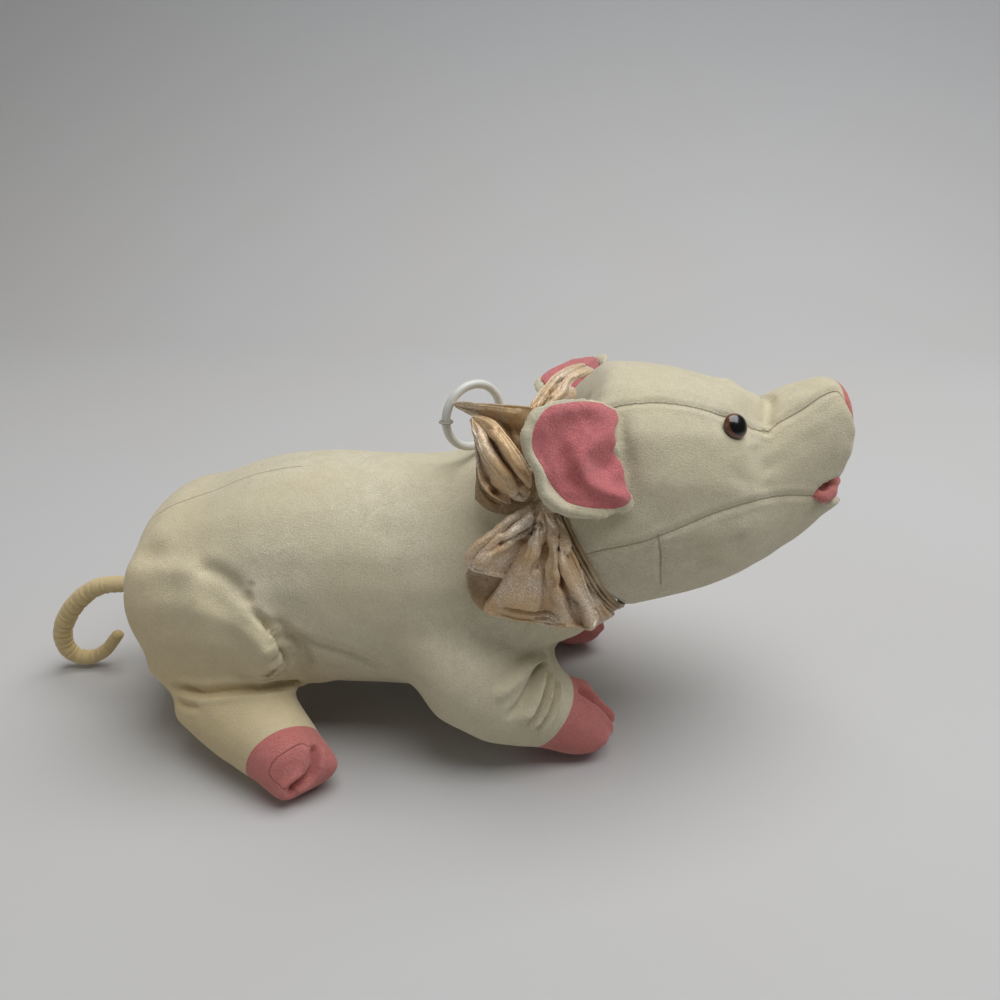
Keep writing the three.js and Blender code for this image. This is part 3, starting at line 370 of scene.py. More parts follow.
def velour(name, look):
    # knitted polyester velour, brushed: matte, with a soft bright edge and a nap that lies unevenly
    material, tree, surface = startMaterial(name)
    place = addNode(tree, "TexCoord")
    at = {"Vector": place.outputs["Object"]}
    nap = addNode(tree, "TexNoise", {"Scale": 1000 / look["nap"], "Detail": 3.0, "Roughness": 0.65}, at)
    brushed = addNode(tree, "TexNoise", {"Scale": 1000 / look["brushed"], "Detail": 3.0,
                                                   "Distortion": 0.6}, at)
    shade = addNode(tree, "TexNoise", {"Scale": 1000 / look["shade"], "Detail": 2.0}, at)
    speck = addNode(tree, "MapRange", {"From Min": 0.3, "From Max": 0.7}, {"Value": nap.outputs["Fac"]})
    streak = addNode(tree, "MapRange", {"From Min": 0.3, "From Max": 0.7},
                     {"Value": brushed.outputs["Fac"]})
    first = addNode(tree, "Mix", {"data_type": "RGBA", 6: hexColor(look["low"]), 7: hexColor(look["high"])},
                    {0: speck.outputs["Result"]})
    worn = addNode(tree, "Mix", {"data_type": "RGBA", 6: hexColor(look["low"]), 7: hexColor(look["high"])},
                   {0: streak.outputs["Result"]})
    both = addNode(tree, "Mix", {"data_type": "RGBA", 0: 0.25},
                   {6: first.outputs[2], 7: worn.outputs[2]})
    warm = addNode(tree, "MapRange", {"From Min": 0.35, "From Max": 0.65, "To Max": look["tintShare"]},
                   {"Value": shade.outputs["Fac"]})
    tinted = addNode(tree, "Mix", {"data_type": "RGBA", 7: hexColor(look["tint"])},
                     {0: warm.outputs["Result"], 6: both.outputs[2]})
    # the cloth is yellower low down and towards the tail
    rear = addNode(tree, "VectorMath", {"operation": "DOT_PRODUCT", 1: (-8, 0, -10)},
                   {0: place.outputs["Object"]})
    lowRearShare = addNode(tree, "MapRange", {"From Min": -0.5, "From Max": 0.9, "To Max": look["yellowLowRearShare"]},
                  {"Value": rear.outputs["Value"]})
    yellowLowRear = addNode(tree, "Mix", {"data_type": "RGBA", 7: hexColor(look["yellowLowRear"])},
                   {0: lowRearShare.outputs[0], 6: tinted.outputs[2]})
    # the sewn line: darker, pressed in, with a small pucker at each stitch
    seam = addNode(tree, "Attribute", {"attribute_name": "seamDistance"})
    run = addNode(tree, "Attribute", {"attribute_name": "seamRun"})
    far = addNode(tree, "Math", {"operation": "ABSOLUTE"}, {0: seam.outputs["Fac"]})
    turns = addNode(tree, "Math", {"operation": "MULTIPLY", 1: 2 * math.pi / look["stitch"]},
                    {0: run.outputs["Fac"]})
    wave = addNode(tree, "Math", {"operation": "SINE"}, {0: turns.outputs[0]})
    width = addNode(tree, "Math", {"operation": "MULTIPLY_ADD", 1: 0.1, 2: look["seamWidth"]},
                    {0: wave.outputs[0]})
    line = addNode(tree, "MapRange", {"interpolation_type": "SMOOTHSTEP", "From Min": 0.1, "To Min": 1.0,
                                                "To Max": 0.0},
                   {"Value": far.outputs[0], "From Max": width.outputs[0]})
    dark = addNode(tree, "Math", {"operation": "MULTIPLY", 1: look["seamShade"]}, {0: line.outputs[0]})
    sewn = addNode(tree, "Mix", {"data_type": "RGBA", 7: hexColor(look["seam"])},
                   {0: dark.outputs[0], 6: yellowLowRear.outputs[2]})
    tree.links.new(sewn.outputs[2], surface.inputs["Base Color"])
    rest = addNode(tree, "MapRange", {"To Min": look["roughness"] - 0.06, "To Max": look["roughness"] + 0.05},
                   {"Value": nap.outputs["Fac"]})
    tree.links.new(rest.outputs[0], surface.inputs["Roughness"])
    height = addNode(tree, "Math", {"operation": "MULTIPLY_ADD", 1: 0.5}, {0: brushed.outputs["Fac"],
                                                                                      2: nap.outputs["Fac"]})
    pressed = addNode(tree, "Math", {"operation": "MULTIPLY_ADD", 1: -1.1},
                      {0: line.outputs[0], 2: height.outputs[0]})
    bump = addNode(tree, "Bump", {"Strength": look["bump"], "Distance": look["napHeight"] * mm},
                   {"Height": pressed.outputs[0]})
    tree.links.new(bump.outputs["Normal"], surface.inputs["Normal"])
    surface.inputs["Specular IOR Level"].default_value = 0.15
    surface.inputs["Sheen Weight"].default_value = look["sheen"]
    surface.inputs["Sheen Roughness"].default_value = 0.45
    surface.inputs["Sheen Tint"].default_value = hexColor(look["sheenTint"])
    return material


creamLook = {
    "low": "#bdb498", "high": "#e8e1ca", "tint": "#d3c8a6", "tintShare": 0.45, "seam": "#85765a",
    "nap": 0.7, "brushed": 6.0, "shade": 45.0, "stitch": 2.2, "seamWidth": 0.5, "seamShade": 0.48,
    "roughness": 0.95, "bump": 0.8, "napHeight": 0.5, "sheen": 0.4, "sheenTint": "#fbf6ea",
    "yellowLowRear": "#dcc38c", "yellowLowRearShare": 0.85,
}
pinkLook = dict(creamLook, low="#b3645f", high="#dc938d", tint="#c9756f", seam="#8d4744", sheenTint="#f6d4ce",
                nap=0.65, brushed=5.0, seamWidth=0.45, yellowLowRearShare=0, sheen=0.55)
earPinkLook = dict(pinkLook, low="#b65b5e", high="#e69496", tint="#cf7476", nap=0.7, brushed=4.0, bump=0.8,
                   napHeight=0.7, sheen=0.5)
creamVelour = velour("cream_velour_fabric", creamLook)
pinkVelour = velour("pink_velour_fabric", pinkLook)
earVelour = velour("pink_plush_lining", earPinkLook)
print("materials made")

# body: one stuffed skin over the torso, legs and hooves, then parted into torso, leg and hoof pieces
bodySkin = {
    "voxel": 2.0, "swell": 2.4, "smoothing": 30, "uneven": [(46, 0.25), (17, 0.1)],
    "relaxed": [
        # the back, the flank and the rump, then the feet and the forelegs, the toes, and the heel
        {"times": 70, "zones": [[(2, 98, 14)], [(0, -42, 12), (0, 2, -12)], [(0, -106, -10), (2, 46, 12)]]},
        {"times": 26, "zones": [[(2, 34, -10)], [(2, 70, -10), (0, 0, 1e-6)]]},
        {"times": 50, "spots": [((-42, 81), 500), ((92, 44), 350)], "within": [(2, 44, -12)]},
        {"times": 160, "spots": [((-118, 48, 37), 300)], "most": 1.4},
    ],
    "pushes": [
        # the thigh's knee stands forward, the groin behind it draws in, and the heel fills out behind
        {"path": [(-64, -59, 82), (-57, -63, 72), (-53, -64, 60), (-56, -63, 49)], "width": 8,
         "move": (1.5, -5.0, -0.5)},
        {"path": [(-53, -58, 75), (-47, -58, 68), (-44, -57.5, 60), (-44.5, -57, 50)],
         "width": 3.8, "move": (0.5, 6.5, 0.5)},
        {"path": [(-112, -48, 40), (-109, -54, 32), (-104, -58, 25)], "width": 10, "move": (-5.0, -2.0, 0)},
        # the front toes stand up and the inside of the elbow is drawn in
        {"path": [(98, -42, 9), (94, -53, 8)], "width": 9, "move": (3.0, 0.5, 4.5)},
        {"path": [(89, -33, 33)], "width": 6, "move": (4.0, 0, 6.5)},
        {"path": [(78, -45, 56), (80, -34, 51), (82, -22, 45)], "width": 6.5, "move": (-9.0, 0.5, 0.5)},
        # under the throat the chest draws back
        {"path": [(96, -36, 60), (99, -22, 56), (99, -10, 54)], "width": 9, "move": (-5.0, 0, 4.0)},
        # the belly cloth hangs lower between the hind legs
        {"path": [(-50, -50, 45), (-40, -46, 44)], "width": 9, "move": (0, 2.0, -7.0)},
        {"path": [(-31, -77, 14)], "width": 8, "move": (5.0, -1.0, 1.5)},
    ],
    "strokes": [
        {"path": [(-111.6, -40.3, 99.1)], "width": 5.5, "depth": 1.6, "lip": 0.3},
        {"path": [(-92.7, -50.2, 98.1)], "width": 6, "depth": -0.9},
        {"path": [(-90, -50, 101), (-78.5, -51.4, 98.2), (-71.4, -53.6, 94.7), (-66.8, -55.1, 91.0),
                  (-63.6, -56.3, 87.8)], "width": 3.4, "depth": 2.0, "open": "end"},
        {"path": [(-63.6, -56.3, 87.8)], "width": 2.0, "depth": 1.7, "lip": 0.4},
        {"path": [(-63.6, -56.3, 87.8), (-62.2, -54.7, 92.6), (-61.2, -53.6, 96.0)],
         "width": 1.6, "depth": 0.9},
        {"path": [(-63.5, -57, 86), (-59, -59, 80), (-52, -61, 74), (-47.5, -61.5, 67), (-45, -61.5, 60),
                  (-45.5, -60.5, 52), (-50, -57, 44)], "width": 1.7, "depth": 3.8, "lip": 0.1},
        {"path": [(-110, -52, 37), (-100, -58, 39), (-90.5, -63.8, 41.4), (-81.1, -65.0, 43.4),
                  (-68.0, -62.8, 43.3), (-56.9, -55.2, 39.5), (-50, -50, 37)],
         "width": 2.0, "depth": 3.6, "open": "end", "lip": 0.3},
        {"path": [(-104, -58, 32), (-96, -64.5, 34.0), (-88.2, -68.2, 37.0)], "width": 1.8, "depth": 1.5},
        {"path": [(-62, -66, 54), (-54, -63, 52), (-47, -60, 51)], "width": 1.1, "depth": 0.9, "open": "end"},
        {"path": [(-63, -66, 48), (-55, -63, 46), (-49, -59, 45)], "width": 1.1, "depth": 1.0, "open": "end"},
        # forearm: drawn-up folds that fan out from the inside of the elbow
        {"path": [(66, -46, 55.5), (60.7, -55.0, 54.9), (56.0, -63.0, 53.7), (50.4, -68.0, 50.8),
                  (44.4, -71.0, 47.0)], "width": 2.6, "depth": -3.5, "open": "start"},
        {"path": [(67, -47, 52), (64, -56.0, 51.5), (61.0, -64.0, 48), (56.4, -69.0, 43), (50, -71.5, 38)],
         "width": 2.0, "depth": 3.5, "open": "start"},
        {"path": [(68, -50, 50.5), (66.5, -56, 49.6), (65.0, -62, 46.4), (62.3, -67.0, 40.8),
                  (56.4, -70.8, 34.8)],
         "width": 1.9, "depth": -3.1, "open": "start"},
        {"path": [(69.5, -51, 49.5), (68.6, -57, 47.2), (67.2, -63, 43.2), (64, -67.6, 37.6),
                  (59.0, -70, 31.6)],
         "width": 1.3, "depth": 2.7, "open": "start"},
        {"path": [(71, -52, 48.4), (70.6, -58, 45), (69.2, -63.6, 40.6), (65.6, -67.8, 35.2),
                  (60.8, -69.6, 29)],
         "width": 1.5, "depth": -2.4, "open": "start"},
        {"path": [(73, -52, 46.8), (72.4, -58.4, 42.6), (70.8, -63.8, 38), (67, -67.6, 32.8),
                  (63, -69, 26.6)],
         "width": 1.2, "depth": 2.4, "open": "start"},
        {"path": [(75, -53, 44.8), (74.2, -58.8, 40.6), (72.4, -63.8, 35.6), (69, -67, 30), (65, -67.6, 24)],
         "width": 1.5, "depth": -2.0, "open": "start"},
        {"path": [(66, -44, 56), (75.2, -42.3, 57.0), (82, -38, 58.4)],
         "width": 2.2, "depth": 3.4, "open": "start"},
        {"path": [(12, -64, 48)], "width": 3.5, "depth": 0.8},
        # hooves: the cleft between the toes and the seamed oval pad
        {"path": [(-31, -77, 29), (-34, -79.9, 23.3), (-36.5, -83.9, 15.3), (-40.7, -92.7, 12.0),
                  (-42, -92, 7)],
         "width": 1.9, "depth": 4.2, "lip": 0.3, "ends": 0.12},
        {"path": [(85, -46, 38), (90.1, -45.3, 32), (96, -43.8, 26), (101, -43, 18), (101, -43, 9)],
         "width": 2.0, "depth": 4.8, "lip": 0.3, "ends": 0.12},
        # belly: the side cloth is sewn to the smoother cloth underneath
        {"path": [(-48.8, -57.6, 69.7), (-37.6, -57.1, 65.9), (-26.3, -56.4, 62.0), (-17.6, -55.7, 58.0),
                  (-11.0, -53.7, 52.8), (-2, -51.9, 49.5)], "width": 2.4, "depth": 1.7, "open": "start"},
        {"path": [(-46, -57, 56), (-34, -55, 52), (-22, -53, 49)],
         "width": 2.0, "depth": 1.0, "open": "start"},
    ],
    "gathers": [
        {"path": [(-58, -63, 73), (-54, -64.5, 67), (-52, -65, 60), (-53, -64, 52), (-57, -61.5, 45)],
         "pitch": 5.6, "height": 2.1, "fade": 4.6},
    ],
    "padSeams": [
        [(-41, -92.5, 13.5), (-46, -93.5, 14.5), (-51.7, -91.4, 19.5), (-49.5, -88.6, 25.5),
         (-44.1, -86.0, 29.0), (-38.4, -81.2, 29.6), (-35.0, -79.8, 26.5)],
    ],
    "seams": [
        [(-134, -8, 70), (-132, -14, 85), (-116.4, -17.4, 110.0), (-98.4, -12, 117), (-77.1, -9, 124.8),
         (-50, -6, 131)],
    ],
}
legNodes = [(end, hand) for end in ("front", "hind") for hand in ("right", "left")]
skinNodes = [f"{end}_{part}_{hand}" for end, hand in legNodes for part in ("leg", "hoof")]
body = cadCopy("body_skin", "torso", *skinNodes)
stuffed(body, bodySkin["voxel"], bodySkin["swell"], bodySkin["smoothing"], 0)
for area in bodySkin["relaxed"]:
    relax(body, area)
push(body, bodySkin["pushes"], (1, -1))
useModifier(body, "SUBSURF", levels=1, render_levels=1)
unevenness(body, bodySkin["uneven"], 11)
sculpt(body, bodySkin["strokes"], (1, -1))
gathers(body, bodySkin["gathers"], (1, -1))
print("body skin", len(body.data.polygons), "faces")


def cutOut(obj, cutter, operation, name):
    # a copy of the skin, kept inside the cutter or outside it
    piece = newObject(name, obj.data.copy())
    useModifier(piece, "BOOLEAN", object=cutter, operation=operation, solver="MANIFOLD")
    return piece


def sliced(obj, place, along, keepAhead, name):
    # one side of a plane, closed where it was cut
    form = bmesh.new()
    form.from_mesh(obj.data)
    cut = bmesh.ops.bisect_plane(form, geom=form.verts[:] + form.edges[:] + form.faces[:], dist=1e-7,
                                 plane_co=Vector(place) * mm, plane_no=along,
                                 clear_inner=keepAhead, clear_outer=not keepAhead)
    rim = [e for e in cut["geom_cut"] if isinstance(e, bmesh.types.BMEdge)]
    bmesh.ops.holes_fill(form, edges=rim)
    mesh = bpy.data.meshes.new(name)
    form.to_mesh(mesh)
    form.free()
    return newObject(name, mesh)


hoofSeam = {
    "front": {"place": (77.5, -59.1, 30.05), "along": (0.8, 0.12, -0.585)},
    "hind": {"place": (-54.9, -80.3, 26.5), "along": (0.56, -0.8, -0.2)},
}
# each leg is cut from the body on a slanted plane: what lies beyond the plane is the leg's own cloth
legBend = {
    "front": {"fall": (0.35, -0.5, -1.0), "start": -6, "from": (-5, -130, -20), "to": (130, -1, 90)},
    "hind": {"fall": (0, -0.5, -1.0), "start": -19, "from": (-160, -130, -20), "to": (-24, -1, 100)},
}
for end, hand in legNodes:
    side = 1 if hand == "right" else -1
    bend = legBend[end]
    fall = sided(bend["fall"], side)
    low, high = np.array(bend["from"]), np.array(bend["to"])
    centre, size = (low + high) / 2 * (1, side, 1), high - low
    bpy.ops.mesh.primitive_cube_add(size=1, location=Vector(centre) * mm)
    block = pick(bpy.context.active_object)
    block.scale = Vector(size) * mm
    bpy.ops.object.transform_apply(location=True, rotation=False, scale=True)
    start = fall * (bend["start"] / fall.length_squared)
    cutter = sliced(block, start, fall, True, "cutter")
    limb = cutOut(body, cutter, "INTERSECT", "limb")
    left = cutOut(body, cutter, "DIFFERENCE", "body_skin")
    bpy.data.objects.remove(body)
    body = left
    place, along = sided(hoofSeam[end]["place"], side), sided(hoofSeam[end]["along"], side)
    leg = sliced(limb, place, along, False, f"{end}_leg_{hand}_skin")
    hoof = sliced(limb, place, along, True, f"{end}_hoof_{hand}_skin")
    for used in (limb, cutter, block):
        bpy.data.objects.remove(used)
    markSeams(leg)
    markSeams(hoof, bodySkin["padSeams"] if end == "hind" else (), (side,))
    finishPiece(leg, creamVelour, 40)
    finishPiece(hoof, pinkVelour, 40)
    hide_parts(f"{end}_leg_{hand}")
    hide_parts(f"{end}_hoof_{hand}")
    # how far beyond the plane the hoof begins
    reach = (readPoints(hoof) @ np.array(fall)).min()
    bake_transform(leg)
    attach(hoof, f"{end}_leg_{hand}")
    bandWidth = round((reach - bend["start"]) / fall.length, 1)
    print(leg.name, len(leg.data.polygons), "bends over", bandWidth, "mm,", hoof.name,
          len(hoof.data.polygons))
markSeams(body, bodySkin["seams"])
finishPiece(body, creamVelour, 40)
body.name = "torso_skin"
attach(body, "root")
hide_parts("torso")

# belly panel
bellyPad = {"voxel": 1.5, "smoothing": 3}
belly = stuffed(cadCopy("belly_gusset", "belly_panel"), bellyPad["voxel"], 0, bellyPad["smoothing"], 1)
markSeams(belly)
finishPiece(belly, creamVelour)
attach(belly, "root")
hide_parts("belly_panel")

# head
headSkin = {
    "voxel": 1.6, "swell": 0.8, "smoothing": 26, "uneven": [(38, 0.3), (13, 0.1)],
    "relaxed": {"times": 45, "zones": [[(0, 120, -16)]]}, "finalVoxel": 1.4, "finalSmoothing": 4,
    "mouth": {"centre": (196, 0, 130.8), "radii": (20.5, 31.5, 8.6)},
    "pushes": [
        {"path": [(197, -14, 152), (196.5, -18, 149)], "width": 5, "move": (1.6, -0.5, 0)},
        {"path": [(197, -8, 141), (195, -18, 139)], "width": 5, "move": (-1.5, 0.3, 0)},
        {"path": [(199, -12, 168), (199, -15, 163), (199, -16, 158)], "width": 4.5, "move": (2.0, -1.5, 0.5)},
        {"path": [(190, -21, 123.5), (194, -14, 122.5)], "width": 5, "move": (3.2, -0.5, 1.2)},
        # the forehead overhangs the brow, and the bridge is arched
        {"path": [(150, -10, 168), (157, -6, 166)], "width": 7, "move": (2.0, 0, 3.4)},
        {"path": [(176, -9, 168.5), (186, -5, 172)], "width": 8, "move": (0, 0, 2.0)},
        # the muzzle is hollowed behind the nostrils
        {"path": [(200, -7, 163), (200, -1, 163)], "width": 6, "move": (-2.4, 0, 0)},
        # behind the jaw the throat is drawn back under the ribbon
        {"path": [(80, -48, 135), (84, -50, 122), (92, -50, 108), (98, -46, 92)], "width": 6,
         "move": (-3.5, -0.5, -1.5)},
    ],
    "strokes": [
        {"path": [(165, -2.6, 164.8), (163.6, -7.5, 163.6), (161.4, -15.8, 160.6), (160.4, -21, 157.4)],
         "width": 2.6, "depth": 2.4, "lip": 0.1, "open": "start"},
        {"path": [(160.4, -21, 157.1)], "width": 1.6, "depth": 1.8},
        {"path": [(128, -46, 116), (136, -42, 105)], "width": 5, "depth": 0.8},
        {"path": [(143, -43, 120), (151, -36, 110)], "width": 5, "depth": 0.8},
        {"path": [(152, -27, 153), (156, -30, 147), (162, -31, 141)], "width": 5, "depth": 1.0},
        {"path": [(140, -40, 146), (150, -37, 140), (165, -33, 136)], "width": 3.2, "depth": 0.6},
        {"path": [(144.8, -29.7, 163.1)], "width": 6.5, "depth": 1.0},
    ],
    "seams": [
        [(84, -31, 165.5), (95.5, -28.9, 170.6), (105.1, -27.9, 172.2), (113.5, -26.6, 172.3),
         (126.2, -26.2, 170.2), (141.0, -26.4, 166.2), (147.5, -25.2, 164.6), (154.5, -23.6, 160.8),
         (160.2, -21.0, 157.6), (165.8, -17.6, 159.8), (175.9, -14.3, 164.8), (185, -10.4, 170),
         (191.2, -8.7, 171.8), (193.6, -11, 170.4)],
        [(187.0, -25.3, 129.1), (171.7, -32.0, 132.4), (157.0, -39.6, 133.7), (143.3, -46.1, 132.3),
         (130.7, -50.0, 128.8), (118.5, -52.2, 124.0), (106.4, -52.8, 118.9), (94.3, -51.8, 115.1),
         (84, -50, 112)],
        [(113.4, -52.7, 121.6), (115.4, -51.7, 112.8), (116.2, -50.8, 104.9), (117.4, -47.1, 96.2)],
    ],
}


def roundForm(name, centre, radii):
    deselectAll()
    bpy.ops.mesh.primitive_uv_sphere_add(radius=mm, segments=48, ring_count=24)
    form = bpy.context.object
    form.name = name
    form.data.transform(Matrix.Translation(Vector(centre) * mm) @ Matrix.Diagonal((*radii, 1)))
    return form


head = stuffed(cadCopy("head_skin", "head"), headSkin["voxel"], headSkin["swell"], headSkin["smoothing"], 0)
relax(head, headSkin["relaxed"])
mouth = roundForm("mouth_hollow", headSkin["mouth"]["centre"], headSkin["mouth"]["radii"])
useModifier(head, "BOOLEAN", object=mouth, operation="DIFFERENCE", solver="MANIFOLD")
bpy.data.objects.remove(mouth)
stuffed(head, headSkin["finalVoxel"], 0, headSkin["finalSmoothing"], 0)
push(head, headSkin["pushes"], (1, -1))
useModifier(head, "SUBSURF", levels=1, render_levels=1)
unevenness(head, headSkin["uneven"], 31)
seamGrooves = [{"path": seam, "width": 1.5, "depth": 0.45, "lip": 0.4, "ends": 0.04}
               for seam in headSkin["seams"]]
sculpt(head, headSkin["strokes"] + seamGrooves, (1, -1))
markSeams(head, headSkin["seams"], (1, -1))
finishPiece(head, creamVelour)
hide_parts("head")
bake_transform(head)
print("head skin", len(head.data.polygons), "faces")

# the floors of the nostril dimples are the pad's own cloth
snoutPad = {"voxel": 0.7, "swell": 0.3, "smoothing": 6, "shift": (-0.2, 0.8, -0.6),
            "floor": {"centre": (196.2, 0, 160.8), "radii": (3.0, 12, 6.5)}}
pad = cadCopy("snout_pad", "snout_disc")
floor = roundForm("nostril_floor", snoutPad["floor"]["centre"], snoutPad["floor"]["radii"])
pick(pad)
floor.select_set(True)
bpy.ops.object.join()
snout = stuffed(pad, snoutPad["voxel"], snoutPad["swell"], snoutPad["smoothing"], 1)
snout.data.transform(Matrix.Translation([length * mm for length in snoutPad["shift"]]))
markSeams(snout)
finishPiece(snout, pinkVelour)
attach(snout, "head")
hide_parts("snout_disc")

mouthCloth = {
    "centre": (187, 0, 130.0), "radii": (13.2, 27.4, 7.4), "voxel": 1.0, "uneven": [(9, 0.5)],
    "strokes": [
        {"path": [(180, -25, 128), (187, -22.5, 130), (193, -17, 132.5), (198, -8, 133)], "width": 1.5,
         "depth": 2.0},
        {"path": [(188, -22, 136), (192, -19, 134.5)], "width": 1.2, "depth": 1.0},
    ],
}
tongue = roundForm("mouth_cloth", mouthCloth["centre"], mouthCloth["radii"])
stuffed(tongue, mouthCloth["voxel"], 0, 0, 1)
sculpt(tongue, mouthCloth["strokes"], (1, -1))
unevenness(tongue, mouthCloth["uneven"], 51)
markSeams(tongue)
finishPiece(tongue, pinkVelour)
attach(tongue, "head")
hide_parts("mouth_lining")

# ears
earSkin = {"voxel": 1.0, "swell": 0.3, "smoothing": 8, "uneven": [(11, 0.25)]}
earPad = {
    "outline": [(62.5, -55, 174.5), (66, -51, 177.5), (71.3, -47.1, 178.4), (84, -39, 177),
                (95.5, -33.5, 171.8), (98.0, -40, 163), (95.0, -46, 157.5), (102.5, -48.5, 150),
                (104, -52.5, 142), (99.5, -56, 136.4), (88.5, -58.8, 136.3), (78, -61.2, 139.2),
                (72.5, -62, 144.2), (67, -61.8, 152.3), (61.2, -60.5, 162.5), (60.4, -58.5, 169)],
    "outward": (0.37, -0.84, 0.40), "thick": 1.7, "sunk": 0.7, "rings": 26, "smoothing": 3,
    "border": [(60, -57, 174), (57.2, -59.5, 166), (59.5, -61, 156), (63, -62, 149.5), (68, -63.5, 141.5),
               (76, -63, 136.2), (88.5, -60, 133.5), (98, -57.5, 133.3)],
    "pushes": [
        {"path": [(57, -60, 141), (55, -60, 149)], "width": 9, "move": (7.0, 1.0, 1.0)},
        {"path": [(79, -46, 172), (72, -52, 167), (70.5, -56, 158), (74, -58.5, 149)], "width": 5.5,
         "move": (1.0, 3.2, -1.5)},
        {"path": [(95.5, -43, 166), (86, -48.5, 160.5), (80.9, -53.1, 155.9), (82.3, -55.6, 149.6),
                  (88.3, -56, 145), (97, -55, 141.5)], "width": 3.2, "move": (-1.2, -4.0, 1.9)},
        {"path": [(93, -48.5, 155.5), (89.5, -51, 152.5)], "width": 3.6, "move": (1.4, 3.6, -1.7)},
        {"path": [(100, -55, 134)], "width": 6, "move": (3.0, 0, -2.5)},
    ],
}


def plushPad(name, pad, skin):
    # a thin pad that lies on the ear inside a drawn outline
    outline = np.array(pad["outline"] + pad["outline"][:3], float)
    edge = smoothPath(outline, 1.2)
    start = np.argmin(np.linalg.norm(edge - outline[1], axis=1))
    later = start + 20
    stop = np.argmin(np.linalg.norm(edge[later:] - outline[-2], axis=1)) + later
    edge = edge[start:stop]
    outward = np.array(pad["outward"]) / np.linalg.norm(pad["outward"])
    centre = edge.mean(0)
    tree = BVHTree.FromObject(skin, bpy.context.evaluated_depsgraph_get())
    points, faces, rings, count = [], [], pad["rings"], len(edge)
    for sign in (1, -1):
        for k in range(1, rings + 1):
            share = k / rings
            for place in edge:
                point = centre + (place - centre) * share
                hit = tree.ray_cast(Vector(point + outward * 15) * mm, -Vector(outward))[0]
                base = np.array(hit if hit else tree.find_nearest(Vector(point) * mm)[0]) / mm
                rise = pad["thick"] * math.sqrt(max(0, 1 - share ** 7)) if sign > 0 else 0
                points.append(base + outward * (rise - pad["sunk"]))
    for layer in range(2):
        for k in range(rings - 1):
            for i in range(count):
                a = (layer * rings + k) * count
                faces.append((a + i, a + (i + 1) % count, a + count + (i + 1) % count, a + count + i))
        faces.append([layer * rings * count + i for i in range(count)])
    piece = meshObject(name, points, faces)
    form = bmesh.new()
    form.from_mesh(piece.data)
    bmesh.ops.remove_doubles(form, verts=form.verts, dist=1e-5)
    bmesh.ops.triangulate(form, faces=[f for f in form.faces if len(f.verts) > 4])
    bmesh.ops.holes_fill(form, edges=[e for e in form.edges if e.is_boundary])
    bmesh.ops.recalc_face_normals(form, faces=form.faces)
    form.to_mesh(piece.data)
    form.free()
    return piece


def stuffedEar(name, node):
    return stuffed(cadCopy(name, node), earSkin["voxel"], earSkin["swell"], earSkin["smoothing"], 1)


for hand in ("right", "left"):
    skin = stuffedEar(f"ear_{hand}_skin", f"ear_{hand}")
    if hand == "right":
        push(skin, earPad["pushes"])
        sculpt(skin, [{"path": earPad["border"], "width": 2.4, "depth": -1.3, "ends": 0.1, "lip": 0.5}])
        pad = plushPad("ear_right_plush", earPad, skin)
        useModifier(pad, "SMOOTH", factor=0.5, iterations=earPad["smoothing"])
    else:
        pad = stuffedEar("ear_left_plush", "ear_lining_left")
    for piece, node, material in ((skin, f"ear_{hand}", creamVelour), (pad, f"ear_lining_{hand}", earVelour)):
        unevenness(piece, earSkin["uneven"], 61)
        markSeams(piece)
        finishPiece(piece, material)
        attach(piece, f"ear_{hand}")
        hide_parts(node)


# tubes: tail and hems
def tube(name, line, sizeAt, sides, bulge):
    # rings round a line: sizeAt gives the radius for each share of the length, and bulge is a factor on it
    line = np.array(line, float)
    ahead, lengths = directionsAlong(line), lengthsAlong(line)
    across = np.cross(ahead[0], (0, 1, 0.01))
    points, faces = [], []
    for i, point in enumerate(line):
        across = across - ahead[i] * np.dot(across, ahead[i])
        across /= np.linalg.norm(across)
        up = np.cross(ahead[i], across)
        for k in range(sides):
            angle = 2 * math.pi * k / sides
            size = sizeAt(lengths[i] / lengths[-1]) * bulge(lengths[i], angle)
            points.append(point + size * (math.cos(angle) * across + math.sin(angle) * up))
    for i in range(len(line) - 1):
        for k in range(sides):
            a, b = i * sides + k, i * sides + (k + 1) % sides
            faces.append((a, b, b + sides, a + sides))
    # each end is closed by a blunt tip
    for i, way in ((0, -1), (len(line) - 1, 1)):
        points.append(line[i] + ahead[i] * way * sizeAt(i and 1.0) * 0.6)
        for k in range(sides):
            a, b = i * sides + k, i * sides + (k + 1) % sides
            faces.append((b, a, len(points) - 1) if i == 0 else (a, b, len(points) - 1))
    piece = meshObject(name, points, faces)
    form = bmesh.new()
    form.from_mesh(piece.data)
    bmesh.ops.recalc_face_normals(form, faces=form.faces)
    form.to_mesh(piece.data)
    form.free()
    return piece


tailTube = {
    "root": (-138.3, 0, 56.33), "length": 104, "drop": 50.4,
    "shares": [(0.03, 0, 0), (-0.14, 0, 0.04), (-0.3, 0.01, -0.03), (-0.45, 0.02, -0.28), (-0.55, 0.03, -0.6),
               (-0.56, 0.04, -0.87), (-0.49, 0.05, -1), (-0.38, 0.06, -0.93), (-0.27, 0.06, -0.68)],
    "radius": 4.5, "waist": 0.1, "thinning": 0.25, "sides": 32, "ruffle": 0.2, "pitch": 4.3, "plain": 14,
}


def tailRadius(share):
    # fuller half way along, thinner towards the tip
    thinner = tailTube["waist"] * math.cos(2 * math.pi * share)
    return tailTube["radius"] * (1 - thinner - tailTube["thinning"] * share ** 4)


def tailBulge(along, angle):
    # drawn up on the outer side of the curl, smoother inside it
    outer = 0.5 + 0.5 * math.cos(angle)
    fold = abs(math.sin(math.pi * (along + 0.8 * math.sin(along * 0.9)) / tailTube["pitch"])) - 0.62
    return 1 + tailTube["ruffle"] * (0.25 + 0.75 * outer) * fold * min(1, along / tailTube["plain"])


